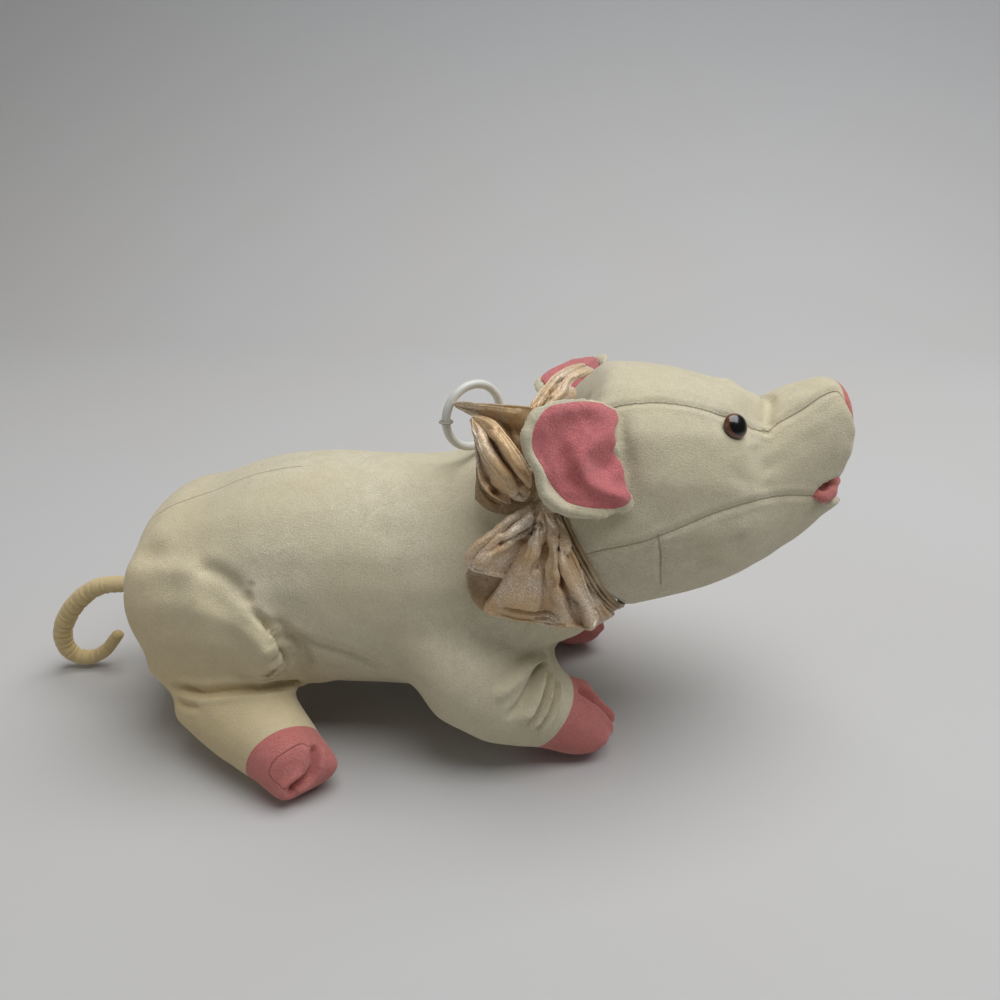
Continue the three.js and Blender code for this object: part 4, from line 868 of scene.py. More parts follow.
tailLine = smoothPath([(tailTube["root"][0] + x * tailTube["length"], y * tailTube["length"],
                        tailTube["root"][2] + z * tailTube["drop"]) for x, y, z in tailTube["shares"]], 0.6)
tail = tube("tail_skin", tailLine, tailRadius, tailTube["sides"], tailBulge)
markSeams(tail)
finishPiece(tail, creamVelour, 70)
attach(tail, "tail")
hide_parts("tail")


# bow
def lameCloth(name, look):
    # knitted lame, a soft cloth with a foil face: the cloth's own gold and pale beige, with painted
    # reflection laid in random patches and painted glints in the fine grain
    material, tree, surface = startMaterial(name)
    place = addNode(tree, "TexCoord")
    at = {"Vector": place.outputs["Object"]}
    grain = addNode(tree, "TexVoronoi", {"Scale": 1000 / look["grain"]}, at)
    weave = addNode(tree, "TexNoise", {"Scale": 1000 / look["weave"], "Detail": 3.0}, at)
    shade = addNode(tree, "TexNoise", {"Scale": 1000 / look["shade"], "Detail": 2.0}, at)
    # the fine knit grain, with painted glints: its palest cells stand in for sparkles of reflected light
    grainAndGlints = addNode(tree, "SeparateColor", {}, {0: grain.outputs["Color"]})
    grainWithPaintedGlints = addNode(tree, "Mix", {"data_type": "RGBA", 6: hexColor(look["low"]), 7: hexColor(look["high"])},
                    {0: grainAndGlints.outputs[0]})
    # painted reflection: gold laid over the paler face in random patches, in place of the foil turning
    # towards and away from the light
    tone = addNode(tree, "MapRange", {"From Min": 0.38, "From Max": 0.62, "To Max": 0.7},
                   {"Value": shade.outputs["Fac"]})
    both = addNode(tree, "Mix", {"data_type": "RGBA", 7: hexColor(look["tint"])},
                   {0: tone.outputs[0], 6: grainWithPaintedGlints.outputs[2]})
    tree.links.new(both.outputs[2], surface.inputs["Base Color"])
    surface.inputs["Metallic"].default_value = look["metallic"]
    rest = addNode(tree, "MapRange", {"To Min": look["roughness"] - 0.1, "To Max": look["roughness"] + 0.12},
                   {"Value": grainAndGlints.outputs[1]})
    tree.links.new(rest.outputs[0], surface.inputs["Roughness"])
    height = addNode(tree, "Math", {"operation": "MULTIPLY_ADD", 1: 0.7},
                     {0: grainAndGlints.outputs[2], 2: weave.outputs["Fac"]})
    bump = addNode(tree, "Bump", {"Strength": 0.6, "Distance": 0.12 * mm}, {"Height": height.outputs[0]})
    tree.links.new(bump.outputs["Normal"], surface.inputs["Normal"])
    surface.inputs["Sheen Weight"].default_value = 0.2
    return material


# lame colours: low to high spans the knit grain, with painted glints at the pale end; tint is the gold laid
# on in patches as painted reflection
lameLook = {"low": "#b59f86", "high": "#faeedb", "tint": "#cba265", "grain": 0.4, "weave": 0.6, "shade": 20.0,
            "metallic": 0.28, "roughness": 0.5}
goldLame = lameCloth("gold_lame_knit", lameLook)
# a darker copy of the lame for the cloth that lies under and behind the bow and in the knot: painted shade
shadedLame = lameCloth("lame_knit_painted_shade", dict(lameLook, low="#8a775f", high="#c9b592", tint="#a5855a"))

bowNets = {
    "bow_fan": [
        [(59.3, -47, 131.1), (52, -53.5, 128.5), (44, -58, 123.2), (39.1, -60, 119.4),
         (35.8, -60.5, 114.9), (34.8, -60, 110.2)],
        [(60.6, -47.6, 131), (53.8, -55.2, 127.1), (46.6, -60.5, 122.7), (40.9, -62.5, 118),
         (38, -63, 113.5), (37.1, -62.2, 109.7)],
        [(61.9, -48, 130.7), (56.3, -56.3, 126.4), (50, -62, 121.8), (45.2, -64, 116.2),
         (42.7, -64.5, 112.6), (44.3, -63.6, 108.5)],
        [(62.7, -46.2, 129.4), (58.7, -51.4, 122.9), (55.5, -55, 117.2), (52.3, -57, 110.5),
         (50.2, -57.5, 106.8), (49.8, -57.3, 101.8)],
        [(63.6, -47.2, 129.4), (61.3, -54.2, 122.6), (58.2, -59, 115.6), (53.3, -61, 107),
         (47.5, -61.5, 98.3), (41.4, -60.9, 89.2)],
        [(64.3, -47.8, 129.5), (63.4, -55.6, 122.4), (62, -61, 114), (59.2, -63, 104.6),
         (55.2, -63.5, 94.9), (52.7, -62.7, 86.2)],
        [(64.9, -47.5, 129.1), (65.5, -54.9, 121.2), (64.9, -60, 111.6), (64.3, -62, 102.2),
         (62.8, -62.5, 91.5), (62.1, -61.8, 84.4)],
        [(65.7, -46.9, 128.6), (67.2, -53.1, 120.3), (67.8, -57.5, 110.3), (68.1, -59.5, 99.8),
         (68.8, -60, 90.1), (69.9, -59.6, 81.1)],
        [(66.5, -48.2, 129.1), (69.2, -57, 123.3), (71, -63, 115.4), (71.9, -65, 104.2),
         (74.5, -65.5, 93.9), (77.4, -64.5, 84.5)],
        [(67.4, -46.6, 128.5), (70.9, -52.4, 121), (72.4, -56.5, 111.8), (73.6, -58.5, 101.3),
         (78.1, -59, 91.8), (83.8, -58.6, 80)],
        [(68.2, -47.9, 129.4), (72.1, -55.9, 122.9), (74.3, -61.5, 114.7), (77.5, -63.5, 106.4),
         (82, -64, 97.1), (87.3, -63.1, 82.7)],
        [(68.8, -46.9, 129.6), (73.4, -53.1, 122.4), (76.5, -57.5, 113.4), (80.6, -59.5, 104.1),
         (84.3, -60, 95.6), (89.6, -59.6, 85.4)],
        [(69.3, -46.5, 130.2), (74.2, -52.1, 123.7), (77.7, -56, 115.5), (81.3, -58, 107.1),
         (84.2, -58.5, 98.7), (88.4, -58.2, 88.6)],
    ],
    "bow_upper_front": [
        [(34.8, -25.7, 163.5), (42.6, -32.8, 164.8), (48.8, -39.5, 161.2), (54, -44.5, 156.2),
         (58.2, -47.5, 150.5), (60.4, -47.4, 145.1)],
        [(34.7, -26.6, 163.7), (40.3, -36.4, 164.3), (46.6, -44, 160.3), (51.7, -49, 154.5),
         (56.3, -52, 149.7), (60, -49.2, 142.3)],
        [(34.4, -25.6, 163.2), (38.3, -32.4, 161), (43.8, -39, 155.6), (49.1, -44, 149.7),
         (54.2, -47, 144.8), (59.6, -47.2, 139.5)],
        [(34.3, -26.5, 163.3), (37.8, -36, 160.6), (41.6, -43.5, 154.7), (46.8, -48.5, 148.8),
         (51.9, -51.5, 144), (58.9, -49, 137.6)],
        [(34.1, -26.8, 163.2), (37.2, -37.2, 159.2), (40.2, -45, 152.6), (44.4, -50, 146.8),
         (49.5, -53, 142), (56.8, -49.6, 136)],
        [(33.8, -25.6, 162.5), (36.4, -32.4, 155.6), (38.7, -39, 148.2), (42.4, -44, 142.2),
         (46.3, -47, 140), (51.7, -47.2, 136.6)],
        [(33.6, -26.2, 162.5), (36.4, -34.8, 154.7), (37.7, -42, 146.7), (39.9, -47, 141.7),
         (43.6, -50, 138.1), (51.8, -48.4, 133.4)],
    ],
    "bow_upper_back": [
        [(24.4, -12, 164.3), (28.3, -15, 166.3), (34.9, -20, 167.6), (42.1, -25, 168.9), (50, -30, 170.2),
         (57.7, -35, 171.4), (59.7, -37, 171.8)],
        [(24.9, -12.5, 164.1), (29.2, -16, 165.6), (35.8, -21.4, 166.5), (42.7, -26.8, 167.2),
         (50.1, -31.8, 166.8), (57.6, -36.8, 166.5), (59.9, -38.8, 166)],
        [(25.2, -11.6, 163.5), (29.9, -14.3, 163.8), (36.5, -19, 163.9), (43.1, -23.8, 163),
         (50, -28.8, 161.3), (57.3, -33.8, 159.7), (59.5, -35.8, 158.2)],
        [(25.8, -12.4, 163.2), (30.9, -15.8, 162.8), (37.2, -21.2, 162.7), (43.7, -26.5, 161.2),
         (49.8, -31.5, 158.2), (55.8, -36.5, 155.3), (58.8, -38.5, 153)],
        [(26.3, -11.9, 162.4), (31.7, -14.7, 160.9), (37.4, -19.6, 160.2), (43.9, -24.5, 157.7),
         (49.2, -29.5, 153.8), (54.1, -34.5, 149), (58.1, -36.5, 144.9)],
    ],
    "bow_upper_under": [
        [(36.3, -34, 154.4), (37.7, -37, 147.4), (42.9, -40, 140.5), (51.5, -42, 136.9), (60, -43, 135.7)],
        [(36.6, -36, 148.8), (37.6, -39, 142.7), (43, -42, 136.7), (51.6, -44, 134.1), (60.5, -45, 134.4)],
        [(36.7, -38, 142.2), (38.7, -41, 138), (44, -44, 133.9), (52.6, -46, 132.3), (60.8, -47, 133.5)],
        [(36.3, -38.5, 135.9), (40, -41.5, 132.7), (45.3, -44.5, 130), (53.4, -46.5, 130.2),
         (61, -47.5, 131.8)],
        [(36, -38, 130.7), (41.2, -41, 127.7), (47, -44, 126.9), (54.3, -46, 128.8), (61.2, -47, 130.7)],
    ],
    "nape_strip": [
        [(56, -42, 149.9), (57.7, -39, 163), (59.3, -35, 171.2), (61.8, -30, 174.9), (65.7, -24, 178.1),
         (69.2, -18, 180.3), (76.1, -8, 181.5), (82.2, 1, 180.1)],
        [(57.3, -44, 150.3), (59.2, -41, 162.4), (61.2, -37, 171), (63.8, -32, 174.7), (67.9, -26, 177.9),
         (71.2, -20, 180.3), (78, -10, 181.3), (83, -1, 180.1)],
        [(58.5, -41.7, 148.9), (60.4, -38.7, 160.3), (63.1, -34.7, 169.2), (65.9, -29.7, 173),
         (70.2, -23.7, 176.2), (73.2, -17.7, 178.9), (80.1, -7.7, 179.9), (84, 1.3, 178.9)],
        [(59.8, -44.2, 149.5), (61.7, -41.2, 159.9), (64.8, -37.2, 169.1), (67.7, -32.2, 172.8),
         (72.3, -26.2, 175.9), (75, -20.2, 179), (82, -10.2, 179.9), (85.1, -1.2, 178.9)],
        [(61.1, -42.5, 148.4), (63.3, -39.5, 157.8), (66.4, -35.5, 167.3), (69.7, -30.5, 171.1),
         (74.6, -24.5, 174.6), (76.8, -18.5, 177.6), (84.2, -8.5, 178.5), (86.5, 0.5, 177.7)],
    ],
    "bow_fan_back": [
        [(36, -60.5, 110), (34.4, -61, 105), (34.9, -61.3, 99), (37, -61.3, 93.5), (41, -61.2, 88.8)],
        [(40, -58.6, 110), (38.5, -58.4, 105), (38.5, -58.6, 99), (40, -59, 94), (43.5, -59.5, 89.2)],
        [(46, -57.6, 110), (45.5, -57.4, 105), (45.5, -57.4, 99), (46.5, -57.6, 94), (49, -58.4, 89.5)],
        [(54, -57.6, 110), (54, -57.4, 105), (54, -57.4, 99), (54.5, -57.6, 94), (56, -58.4, 90)],
    ],
}
# the ribbon's front edge is gathered into folds that lie against the jaw
neckFold = {
    "bandSide": [(68.5, -47.5, 131), (71.2, -50.1, 125.4), (73.0, -51.9, 121.2), (75.7, -53.4, 115.4),
                 (78.9, -54.0, 109.1), (83.0, -54.5, 101.7), (87.2, -53.2, 94.5), (91.7, -49.9, 87.4),
                 (95.5, -44.0, 80.5), (99, -36, 74), (101, -21, 68)],
    "jawSide": [(73, -47, 132.5), (75.9, -49.2, 126.7), (78.6, -50.0, 121.1), (81.3, -51.0, 115.9),
                (85.1, -50.8, 108.5), (89.4, -49.8, 100.1), (93.8, -47.8, 91.9), (98.4, -42.8, 83.9),
                (102.2, -39.2, 79.3), (105, -30, 74.5), (106, -18, 71)],
    "rises": [0.8, -1.0, 0.9, -1.3, 0.9, -1.1, 0.4],
}
lastRise = len(neckFold["rises"]) - 1
bowNets["neck_fold"] = [[tuple(np.array(a) * (1 - i / lastRise) + np.array(b) * i / lastRise + (0, rise, 0))
                         for a, b in zip(neckFold["bandSide"], neckFold["jawSide"])]
                        for i, rise in enumerate(neckFold["rises"])]
# flat: what each cloth is cut to, width and length in metres, taken from its own shape as the photograph
# shows it; rim: which edges are hemmed; rolled: how many times wider a hem is; strokes: folds along the cloth
bowSheets = {
    "neck_fold": {"cloth": shadedLame, "flat": (0.014, 0.093), "rim": "right", "size": 0.4, "gathers": 0,
                  "strokes": []},
    "bow_fan_back": {"cloth": shadedLame, "flat": (0.024, 0.02), "rim": "left", "size": 0.7, "gathers": 0,
                     "strokes": []},
    "bow_fan": {"cloth": goldLame, "flat": (0.085, 0.061), "rim": "left end right", "size": 1.0,
                "rolled": {"left": 2.1}, "gathers": 0.9, "strokes": [
        {"path": [(63.8, -49.0, 128.2), (56.9, -54.9, 127.1), (50.3, -59.4, 123.7), (44.3, -61.8, 120.1),
                  (40.1, -62.0, 117.8)], "width": 1.6, "depth": -2.6, "lip": 0.3},
        {"path": [(65.5, -48.8, 127.1), (59.2, -51.1, 123.5), (51.8, -59.8, 121.4), (45.5, -62.9, 118.6),
                  (41.3, -63.7, 114.1), (37.4, -62.4, 111.8)], "width": 1.5, "depth": -2.4, "lip": 0.3},
        {"path": [(64.5, -49.1, 127.9), (58.1, -53.1, 125.4), (51.1, -60.4, 123.1), (45.1, -62.5, 119.4),
                  (40.9, -63.0, 116.3)], "width": 0.9, "depth": 2.4, "lip": 0},
        {"path": [(65.0, -50.6, 126.0), (60.4, -53.4, 122.6), (57.1, -55.3, 118.2)],
         "width": 1.5, "depth": 3.2},
        {"path": [(66.3, -48.4, 127.5), (65.6, -53.8, 122.0), (62.2, -59.5, 116.3), (59.2, -61.1, 111.4)],
         "width": 2.0, "depth": -1.6},
        {"path": [(68.7, -56.8, 120.2), (65.3, -58.7, 113.3), (60.9, -62.3, 105.9)],
         "width": 2.4, "depth": 2.6},
        {"path": [(67.8, -47.5, 127.6), (69.4, -55.6, 123.1), (69.1, -59.4, 113.8), (68.7, -60.2, 102.6),
                  (69.2, -60.9, 96.7)], "width": 1.8, "depth": -2.0},
        {"path": [(70.1, -48.3, 128.0), (72.4, -55.1, 122.9), (72.3, -56.2, 112.9), (71.2, -63.9, 105.9),
                  (74.7, -60.5, 97.6), (81.1, -61.4, 92.4)], "width": 1.1, "depth": 2.2, "lip": 0.4},
        {"path": [(71.6, -49.9, 126.2), (74.2, -55.1, 119.5), (74.3, -61.2, 113.2), (77.4, -63.1, 105.6),
                  (81.5, -63.9, 98.1), (85.0, -61.7, 91.3)], "width": 1.2, "depth": -1.8, "lip": 0.4},
        {"path": [(72.1, -63.9, 104.6), (76.3, -59.0, 96.2), (82.2, -62.1, 91.9)],
         "width": 1.4, "depth": 2.0},
        {"path": [(50, -62, 100), (56, -62, 95), (66, -61, 92)], "width": 5.0, "depth": -1.6},
        {"path": [(45, -61.3, 92.3), (57.6, -62.4, 91.3), (66.6, -60.8, 88.6), (81, -62.1, 88.6)],
         "width": 0.9, "depth": 1.4, "lip": 0.6},
        {"path": [(60, -61.5, 87.3), (70, -60.8, 85), (80, -62.1, 84.9)],
         "width": 0.8, "depth": 1.1, "lip": 0.6},
    ]},
    "bow_upper_under": {"cloth": shadedLame, "flat": (0.03, 0.023), "rim": "left end right", "size": 0.55,
                        "gathers": 0.4, "strokes": [
        {"path": [(39.1, -40.6, 139.2), (43.2, -43.5, 133.7), (48.8, -45.3, 130.4)],
         "width": 1.3, "depth": 1.4}]},
    "bow_upper_back": {"cloth": goldLame, "flat": (0.036, 0.029), "rim": "left", "size": 0.5,
                       "gathers": 0.3, "strokes": [
        {"path": [(48.0, -29.9, 167.9), (52.0, -32.7, 167.7), (56.7, -35.2, 169.1)],
         "width": 1.4, "depth": -1.2},
        {"path": [(46.3, -27.5, 161.2), (49.6, -29.5, 160.3), (51.3, -32.4, 156.4), (54.6, -35.0, 149.9)],
         "width": 1.2, "depth": 1.6, "lip": 0.5},
        {"path": [(33.6, -17.1, 164.0), (42.2, -24.7, 165.1), (49.6, -30.3, 164.7)],
         "width": 1.6, "depth": 1.1}]},
    "bow_upper_front": {"cloth": goldLame, "flat": (0.055, 0.042), "rim": "left right", "size": 0.6,
                        "gathers": 0.5, "strokes": [
        {"path": [(34.8, -27.3, 163.0), (40.4, -40.5, 156.9), (45.4, -46.5, 150.7), (50.9, -50.0, 145.4),
                  (53.3, -51.1, 138.8)], "width": 2.4, "depth": -2.4},
        {"path": [(37.2, -30.0, 164.0), (43.4, -38.8, 157.1), (48.7, -43.8, 150.1), (52.8, -48.7, 144.8),
                  (54.4, -50.9, 140.0)], "width": 1.1, "depth": 2.4},
        {"path": [(40.3, -31.2, 164.5), (47.6, -44.6, 159.4), (53.1, -49.8, 152.7), (57.3, -51.2, 147.7),
                  (58.5, -47.2, 140.5)], "width": 1.7, "depth": -1.8},
        {"path": [(45.1, -48.3, 139.2)], "width": 1.7, "depth": 3.2, "lip": 0.3},
        {"path": [(55.9, -50.2, 138.7)], "width": 1.7, "depth": 3.2, "lip": 0.3},
        {"path": [(41.0, -43.9, 143.2), (45.0, -46.3, 140.6), (46.8, -48.6, 137.9)],
         "width": 1.2, "depth": 1.6}]},
    "nape_strip": {"cloth": goldLame, "flat": (0.066, 0.019), "rim": "left right", "size": 0.5,
                   "gathers": 0.3, "strokes": [
        {"path": [(60.5, -36.7, 170.4), (64.9, -30.7, 174.1), (69.5, -23.5, 178.3), (75.9, -13.6, 179.5),
                  (83.5, -4.0, 179.3)], "width": 1.4, "depth": -1.2},
        {"path": [(66.5, -32.2, 172.2), (68.3, -25.6, 177.4), (72.7, -18.3, 179.2)],
         "width": 1.1, "depth": 1.4}]},
}


def denser(rows, count):
    # a smooth run of rows through the given ones
    rows = np.array(rows, float)
    ends = np.concatenate([2 * rows[:1] - rows[1:2], rows, 2 * rows[-1:] - rows[-2:-1]])
    out = []
    for place in np.linspace(0, len(rows) - 1, count):
        i = min(int(place), len(rows) - 2)
        out.append(curvePoint(*ends[i:i + 4], place - i))
    return np.array(out)


def standOff(obj, others, gap, thick=0.0, middle=None):
    # the piece lifted clear of what it lies on; faces turned away from it keep their thickness. Where a
    # middle is given, surfaces that face towards it, inside the neck, don't count
    points, normals = readPoints(obj), readNormals(obj)
    for other in others:
        tree = BVHTree.FromObject(other, bpy.context.evaluated_depsgraph_get())
        for i, point in enumerate(points):
            near, outward, _, _ = tree.find_nearest(Vector(point) * mm, 12 * mm)
            if near is None:
                continue
            outward = np.array(outward)
            if middle and np.dot(outward[1:], point[1:] - middle) < 0.35 * np.linalg.norm(point[1:] - middle):
                continue
            height = np.dot(point - np.array(near) / mm, outward)
            want = gap + (thick if np.dot(normals[i], outward) > 0 else 0)
            if height < want:
                points[i] = point + outward * (want - height)
    writePoints(obj, points)


clothFinish = {"across": 12, "along": 10, "folds": 7, "creases": 17, "uneven": [(13, 0.2), (5, 0.05)],
               "gap": 1.1, "thick": 0.6, "hemSides": 10}


def hemBulge(far, angle):
    # the stitches make a hem a little lumpy
    return 1 + 0.12 * math.sin(far * 1.1) * math.cos(angle)


def clothSheet(name, net, look, under):
    across, along = clothFinish["across"] * len(net), clothFinish["along"] * len(net[0])
    grid = denser(np.stack([denser(column, along) for column in net]), across)
    faces = [(i * along + j, (i + 1) * along + j, (i + 1) * along + j + 1, i * along + j + 1)
             for i in range(across - 1) for j in range(along - 1)]
    slopeU, slopeV = np.gradient(grid, axis=0), np.gradient(grid, axis=1)
    normal = np.cross(slopeU, slopeV)
    normal /= np.maximum(np.linalg.norm(normal, axis=2), 1e-9)[:, :, None]
    if normal[:, :, 1].mean() > 0:
        normal = -normal
        faces = [face[::-1] for face in faces]
    # folds drawn up at the knot that open towards the cloth's end
    share = np.linspace(0, 1, along)[None, :]
    lane = np.linspace(0, 1, across)[:, None]
    wave = np.sin(2 * math.pi * (lane * clothFinish["folds"] + 0.5 * np.sin(lane * 11) + 0.25 * share)) \
        + 0.5 * np.sin(2 * math.pi * lane * clothFinish["creases"] + 2)
    height = look["gathers"] * wave * (1 - share) ** 1.2 * np.minimum(1, share * 6)
    grid = grid + normal * height[:, :, None]
    sheet = meshObject(name, grid.reshape(-1, 3), faces)
    sculpt(sheet, look["strokes"])
    unevenness(sheet, clothFinish["uneven"], 71)
    standOff(sheet, under, clothFinish["gap"])
    points = readPoints(sheet).reshape(across, along, 3)
    rims = {"left": points[0], "end": points[:, -1], "right": points[-1]}
    useModifier(sheet, "SOLIDIFY", thickness=clothFinish["thick"] * mm, offset=0)
    pieces = [sheet]
    for edge in look["rim"].split():
        size = look["size"] * look.get("rolled", {}).get(edge, 1)
        pieces.append(tube(name + "_" + edge, rims[edge][::3], lambda share: size, clothFinish["hemSides"],
                           hemBulge))
    deselectAll()
    for piece in pieces:
        piece.select_set(True)
    bpy.context.view_layer.objects.active = sheet
    bpy.ops.object.join()
    return sheet


for name, look in bowSheets.items():
    sheet = clothSheet(name, bowNets[name], look, [] if name == "neck_fold" else [body, head])
    finishPiece(sheet, look["cloth"])
    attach(sheet, "root")
    print(name, len(sheet.data.polygons), "faces, area", sum(f.area for f in sheet.data.polygons))
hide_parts("bow_loop_lower")
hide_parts("bow_loop_upper")

neckRibbon = {
    "longest": 1.6, "gap": 0.5, "thick": 1.2, "middle": (0, 112), "uneven": [(9, 0.2)],
    "pushes": [
        {"path": [(92, -40, 66), (97, -34, 62), (101, -22, 58), (101, -10, 56)], "width": 9,
         "move": (-6, 1, 7)},
    ],
    "strokes": [
        {"path": [(70, -52, 126), (76, -54, 112), (80, -55, 101), (87, -53, 88), (95, -42, 68)],
         "width": 0.9, "depth": 1.0, "lip": 0.7},
        {"path": [(74, -50, 124), (80, -53, 110), (84, -54, 100), (91, -51, 86), (98, -40, 67)],
         "width": 0.8, "depth": 0.9, "lip": 0.7},
    ],
}
band = cadCopy("neck_ribbon", "ribbon_band")
form = bmesh.new()
form.from_mesh(band.data)
for _ in range(3):
    long = [e for e in form.edges if e.calc_length() > neckRibbon["longest"] * mm]
    if long:
        bmesh.ops.subdivide_edges(form, edges=long, cuts=1, use_grid_fill=True)
bmesh.ops.triangulate(form, faces=form.faces)
form.to_mesh(band.data)
form.free()
useModifier(band, "SMOOTH", factor=0.5, iterations=4)
push(band, neckRibbon["pushes"], (1, -1))
standOff(band, [body, head, body], neckRibbon["gap"], neckRibbon["thick"], neckRibbon["middle"])
useModifier(band, "SMOOTH", factor=0.5, iterations=2)
standOff(band, [body, head], neckRibbon["gap"], neckRibbon["thick"], neckRibbon["middle"])
sculpt(band, neckRibbon["strokes"])
unevenness(band, neckRibbon["uneven"], 81)
finishPiece(band, goldLame)
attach(band, "root")
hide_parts("ribbon_band")
print("neck ribbon area", sum(f.area for f in band.data.polygons))
# the knot's gathers fan out at the top: each line's points, and how far apart the lines are there
knotPad = {"voxel": 0.8, "smoothing": 4, "gathers": 6, "width": 0.6, "depth": 1.2,
           "line": [((52, -47, 148), 2.4), ((56, -49, 140), 1.2), ((59, -48, 133), 0.6)]}
knot = stuffed(cadCopy("knot_gathers", "bow_knot"), knotPad["voxel"], 0, knotPad["smoothing"], 1)
sculpt(knot, [{"path": [(x + k * apart, y, z) for (x, y, z), apart in knotPad["line"]],
               "width": knotPad["width"], "depth": knotPad["depth"], "ends": 0.1}
              for k in range(knotPad["gathers"])])
finishPiece(knot, shadedLame)
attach(knot, "root")
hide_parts("bow_knot")

# eyes
eyeButton = {"place": (144.9, -29.3, 162.7), "out": (0.39, -0.74, 0.55), "radius": 5.6, "height": 3.3,
             "skirt": 0.9, "skirtShare": 0.93, "leftSunk": 1.4}


def eyePlastic(name, look):
    # moulded safety eye: black pupil in a brown rim, under a clear polished dome
    material, tree, surface = startMaterial(name)
    ring = addNode(tree, "Attribute", {"attribute_name": "fromCentre"})
    ramp = addNode(tree, "ValToRGB", {}, {0: ring.outputs["Fac"]})
    stops = ramp.color_ramp
    stops.elements[0].position, stops.elements[0].color = 0.0, hexColor(look["pupil"])
    stops.elements[1].position, stops.elements[1].color = 1.0, hexColor(look["edge"])
    for place, color in look["stops"]:
        stop = stops.elements.new(place)
        stop.color = hexColor(look[color])
    tree.links.new(ramp.outputs[0], surface.inputs["Base Color"])
    haze = addNode(tree, "TexCoord")
    dust = addNode(tree, "TexNoise", {"Scale": look["dustScale"]}, {"Vector": haze.outputs["Object"]})
    rest = addNode(tree, "MapRange", {"To Min": 0.16, "To Max": 0.28}, {"Value": dust.outputs["Fac"]})
    tree.links.new(rest.outputs[0], surface.inputs["Roughness"])
    surface.inputs["Coat Weight"].default_value = 0.5
    surface.inputs["Coat Roughness"].default_value = 0.08
    return material


eyeLook = {"pupil": "#080606", "iris": "#6b4028", "edge": "#26120b", "dustScale": 900.0,
           "stops": [(0.74, "pupil"), (0.82, "iris"), (0.95, "iris")]}
safetyEye = eyePlastic("brown_eye_plastic", eyeLook)


def makeEye(hand, side):
    deselectAll()
    bpy.ops.mesh.primitive_uv_sphere_add(radius=eyeButton["radius"] * mm, segments=48, ring_count=24)
    eye = bpy.context.object
    eye.name = f"eye_{hand}_dome"
    form = bmesh.new()
    form.from_mesh(eye.data)
    cut = bmesh.ops.bisect_plane(form, geom=form.verts[:] + form.edges[:] + form.faces[:], dist=1e-7,
                                 plane_co=(0, 0, 0), plane_no=(0, 0, 1), clear_inner=True)
    rim = [e for e in cut["geom_cut"] if isinstance(e, bmesh.types.BMEdge)]
    skirt = bmesh.ops.extrude_edge_only(form, edges=rim)["geom"]
    ring = [v for v in skirt if isinstance(v, bmesh.types.BMVert)]
    for v in ring:
        v.co.z -= eyeButton["skirt"] * mm
        v.co.xy *= eyeButton["skirtShare"]
    bmesh.ops.holes_fill(form, edges=[e for e in form.edges if e.is_boundary])
    centre = form.verts.layers.float.new("fromCentre")
    for v in form.verts:
        v[centre] = min(1, v.co.xy.length / (eyeButton["radius"] * mm))
        if v.co.z > 0:
            v.co.z *= eyeButton["height"] / eyeButton["radius"]
    bmesh.ops.recalc_face_normals(form, faces=form.faces)
    form.to_mesh(eye.data)
    form.free()
    out = sided(eyeButton["out"], side)
    spot = sided(eyeButton["place"], side) * mm - out * (0 if side > 0 else eyeButton["leftSunk"] * mm)
    eye.data.transform(Matrix.Translation(spot) @ out.to_track_quat("Z", "Y").to_matrix().to_4x4())
    finishPiece(eye, safetyEye, 35)
    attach(eye, "head")
    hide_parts(f"eye_{hand}")


makeEye("right", 1)
makeEye("left", -1)


# ring and thread
def plainPlastic(name, look):
    # injection moulded polypropylene: off white, satin, with faint flow marks
    material, tree, surface = startMaterial(name)
    place = addNode(tree, "TexCoord")
    flow = addNode(tree, "TexNoise", {"Scale": 1000 / look["flow"], "Detail": 2.0,
                                     "Distortion": 0.5},
                   {"Vector": place.outputs["Object"]})
    fine = addNode(tree, "TexNoise", {"Scale": 1000 / look["fine"]}, {"Vector": place.outputs["Object"]})
    color = addNode(tree, "Mix", {"data_type": "RGBA", 6: hexColor(look["low"]), 7: hexColor(look["high"])},
                    {0: flow.outputs["Fac"]})
    tree.links.new(color.outputs[2], surface.inputs["Base Color"])
    rest = addNode(tree, "MapRange", {"To Min": 0.3, "To Max": 0.45}, {"Value": flow.outputs["Fac"]})
    tree.links.new(rest.outputs[0], surface.inputs["Roughness"])
    bump = addNode(tree, "Bump", {"Strength": 0.2, "Distance": 0.05 * mm}, {"Height": fine.outputs["Fac"]})
    tree.links.new(bump.outputs["Normal"], surface.inputs["Normal"])
    return material


def coat(node, material):
    # the look of a CAD mesh that stays
    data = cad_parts[node].data
    data.materials.clear()
    data.materials.append(material)


plasticLook = {"low": "#d5d6cf", "high": "#e6e7e1", "flow": 6.25, "fine": 0.4}
whitePlastic = plainPlastic("white_polypropylene", plasticLook)
ringTorus = {"centre": (32.76, -3, 156.1), "turn": 38, "major": 14.75, "minor": 2.0}
deselectAll()
bpy.ops.mesh.primitive_torus_add(major_radius=ringTorus["major"] * mm, minor_radius=ringTorus["minor"] * mm,
                                 major_segments=96, minor_segments=24)
ring = bpy.context.object
ring.name = "loop_ring"
turned = Matrix.Rotation(math.radians(ringTorus["turn"]), 4, "Z") @ Matrix.Rotation(math.pi / 2, 4, "X")
ring.data.transform(Matrix.Translation(Vector(ringTorus["centre"]) * mm) @ turned)
finishPiece(ring, whitePlastic)
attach(ring, "ring")
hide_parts("hanging_ring")
coat("eye_washer_right", whitePlastic)
coat("eye_washer_left", whitePlastic)
whiteCotton = velour("white_cotton_thread", dict(creamLook, low="#cfcabd", high="#ece9df", tint="#ddd8ca",
                                                 nap=0.3, brushed=1.2, yellowLowRearShare=0))
coat("ring_thread", whiteCotton)

# studio
sweepShape = {"halfWidth": 3.0, "front": -2.5, "bend": 0.7, "radius": 0.5, "top": 2.6}


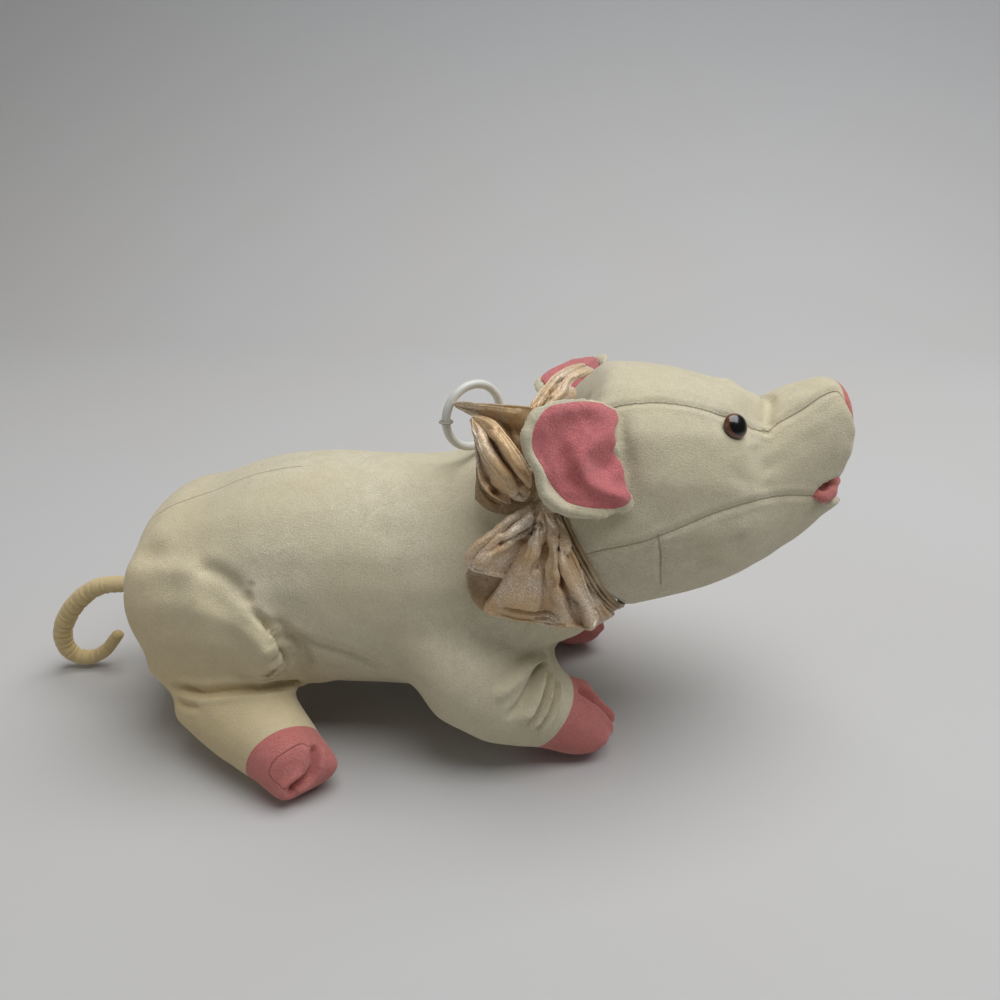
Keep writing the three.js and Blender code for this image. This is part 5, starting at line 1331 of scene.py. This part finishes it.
def paperSweep(shape):
    # a sheet of paper that lies flat and rises behind in one curve
    profile = [(shape["front"], 0.0), (shape["bend"], 0.0)]
    for i in range(1, 33):
        angle = math.pi / 2 * i / 32
        profile.append((shape["bend"] + shape["radius"] * math.sin(angle),
                        shape["radius"] * (1 - math.cos(angle))))
    profile.append((shape["bend"] + shape["radius"], shape["top"]))
    verts = [(x, y, z) for y, z in profile for x in (-shape["halfWidth"], shape["halfWidth"])]
    faces = [(2 * i, 2 * i + 1, 2 * i + 3, 2 * i + 2) for i in range(len(profile) - 1)]
    mesh = bpy.data.meshes.new("paper_sweep")
    mesh.from_pydata(verts, [], faces)
    for face in mesh.polygons:
        face.use_smooth = True
    return newObject("paper_sweep", mesh)


sweep = paperSweep(sweepShape)


def palePaper(name, look):
    # matt paper, faintly mottled, with painted shade: the colour darkens where the sheet rises behind, paler
    # on the floor
    material, tree, surface = startMaterial(name)
    place = addNode(tree, "TexCoord")
    mottle = addNode(tree, "TexNoise", {"Scale": look["mottle"], "Detail": 2.0},
                     {"Vector": place.outputs["Object"]})
    tone = addNode(tree, "Mix", {"data_type": "RGBA", 6: hexColor(look["low"]), 7: hexColor(look["high"])},
                   {0: mottle.outputs["Fac"]})
    # painted shade: the darker colour comes in with height
    split = addNode(tree, "SeparateXYZ", {}, {0: place.outputs["Object"]})
    rise = addNode(tree, "MapRange", {"interpolation_type": "SMOOTHSTEP", "From Max": look["risen"]},
                   {"Value": split.outputs["Z"]})
    paperWithPaintedShade = addNode(tree, "Mix", {"data_type": "RGBA", 7: hexColor(look["paintedWallShade"])},
                     {0: rise.outputs[0], 6: tone.outputs[2]})
    tree.links.new(paperWithPaintedShade.outputs[2], surface.inputs["Base Color"])
    surface.inputs["Roughness"].default_value = look["roughness"]
    surface.inputs["Specular IOR Level"].default_value = look["specular"]
    return material


# the rising part of the sweep is given a darker colour as painted shade
paperLook = {"low": "#c3c1be", "high": "#c5c6c8", "paintedWallShade": "#b3b5b8", "mottle": 3.0, "risen": 0.7,
             "roughness": 0.9, "specular": 0.2}
sweep.data.materials.append(palePaper("pale_paper", paperLook))
airLight = {"Color": (0.78, 0.8, 0.84, 1), "Strength": 0.11}
world = bpy.data.worlds.new("studio")
bpy.context.scene.world = world
world.use_nodes = True
for key, value in airLight.items():
    world.node_tree.nodes["Background"].inputs[key].default_value = value
lamps = {
    "overhead": {"place": (0.5, 0.08, 1.7), "size": 1.6, "power": 33, "color": (1, 1, 1)},
    "window": {"place": (-1.5, -0.5, 0.8), "size": 1.2, "power": 3.0, "color": (1, 0.9, 0.76)},
}
lampAim = Vector((0, 0, 0.08))
for name, look in lamps.items():
    lamp = bpy.data.lights.new(name, "AREA")
    lamp.size = look["size"]
    lamp.energy = look["power"]
    lamp.color = look["color"]
    light = bpy.data.objects.new(name, lamp)
    light.location = look["place"]
    light.rotation_euler = (lampAim - Vector(look["place"])).to_track_quat("-Z", "Y").to_euler()
    bpy.context.scene.collection.objects.link(light)
bpy.context.scene.view_settings.view_transform = "Standard"
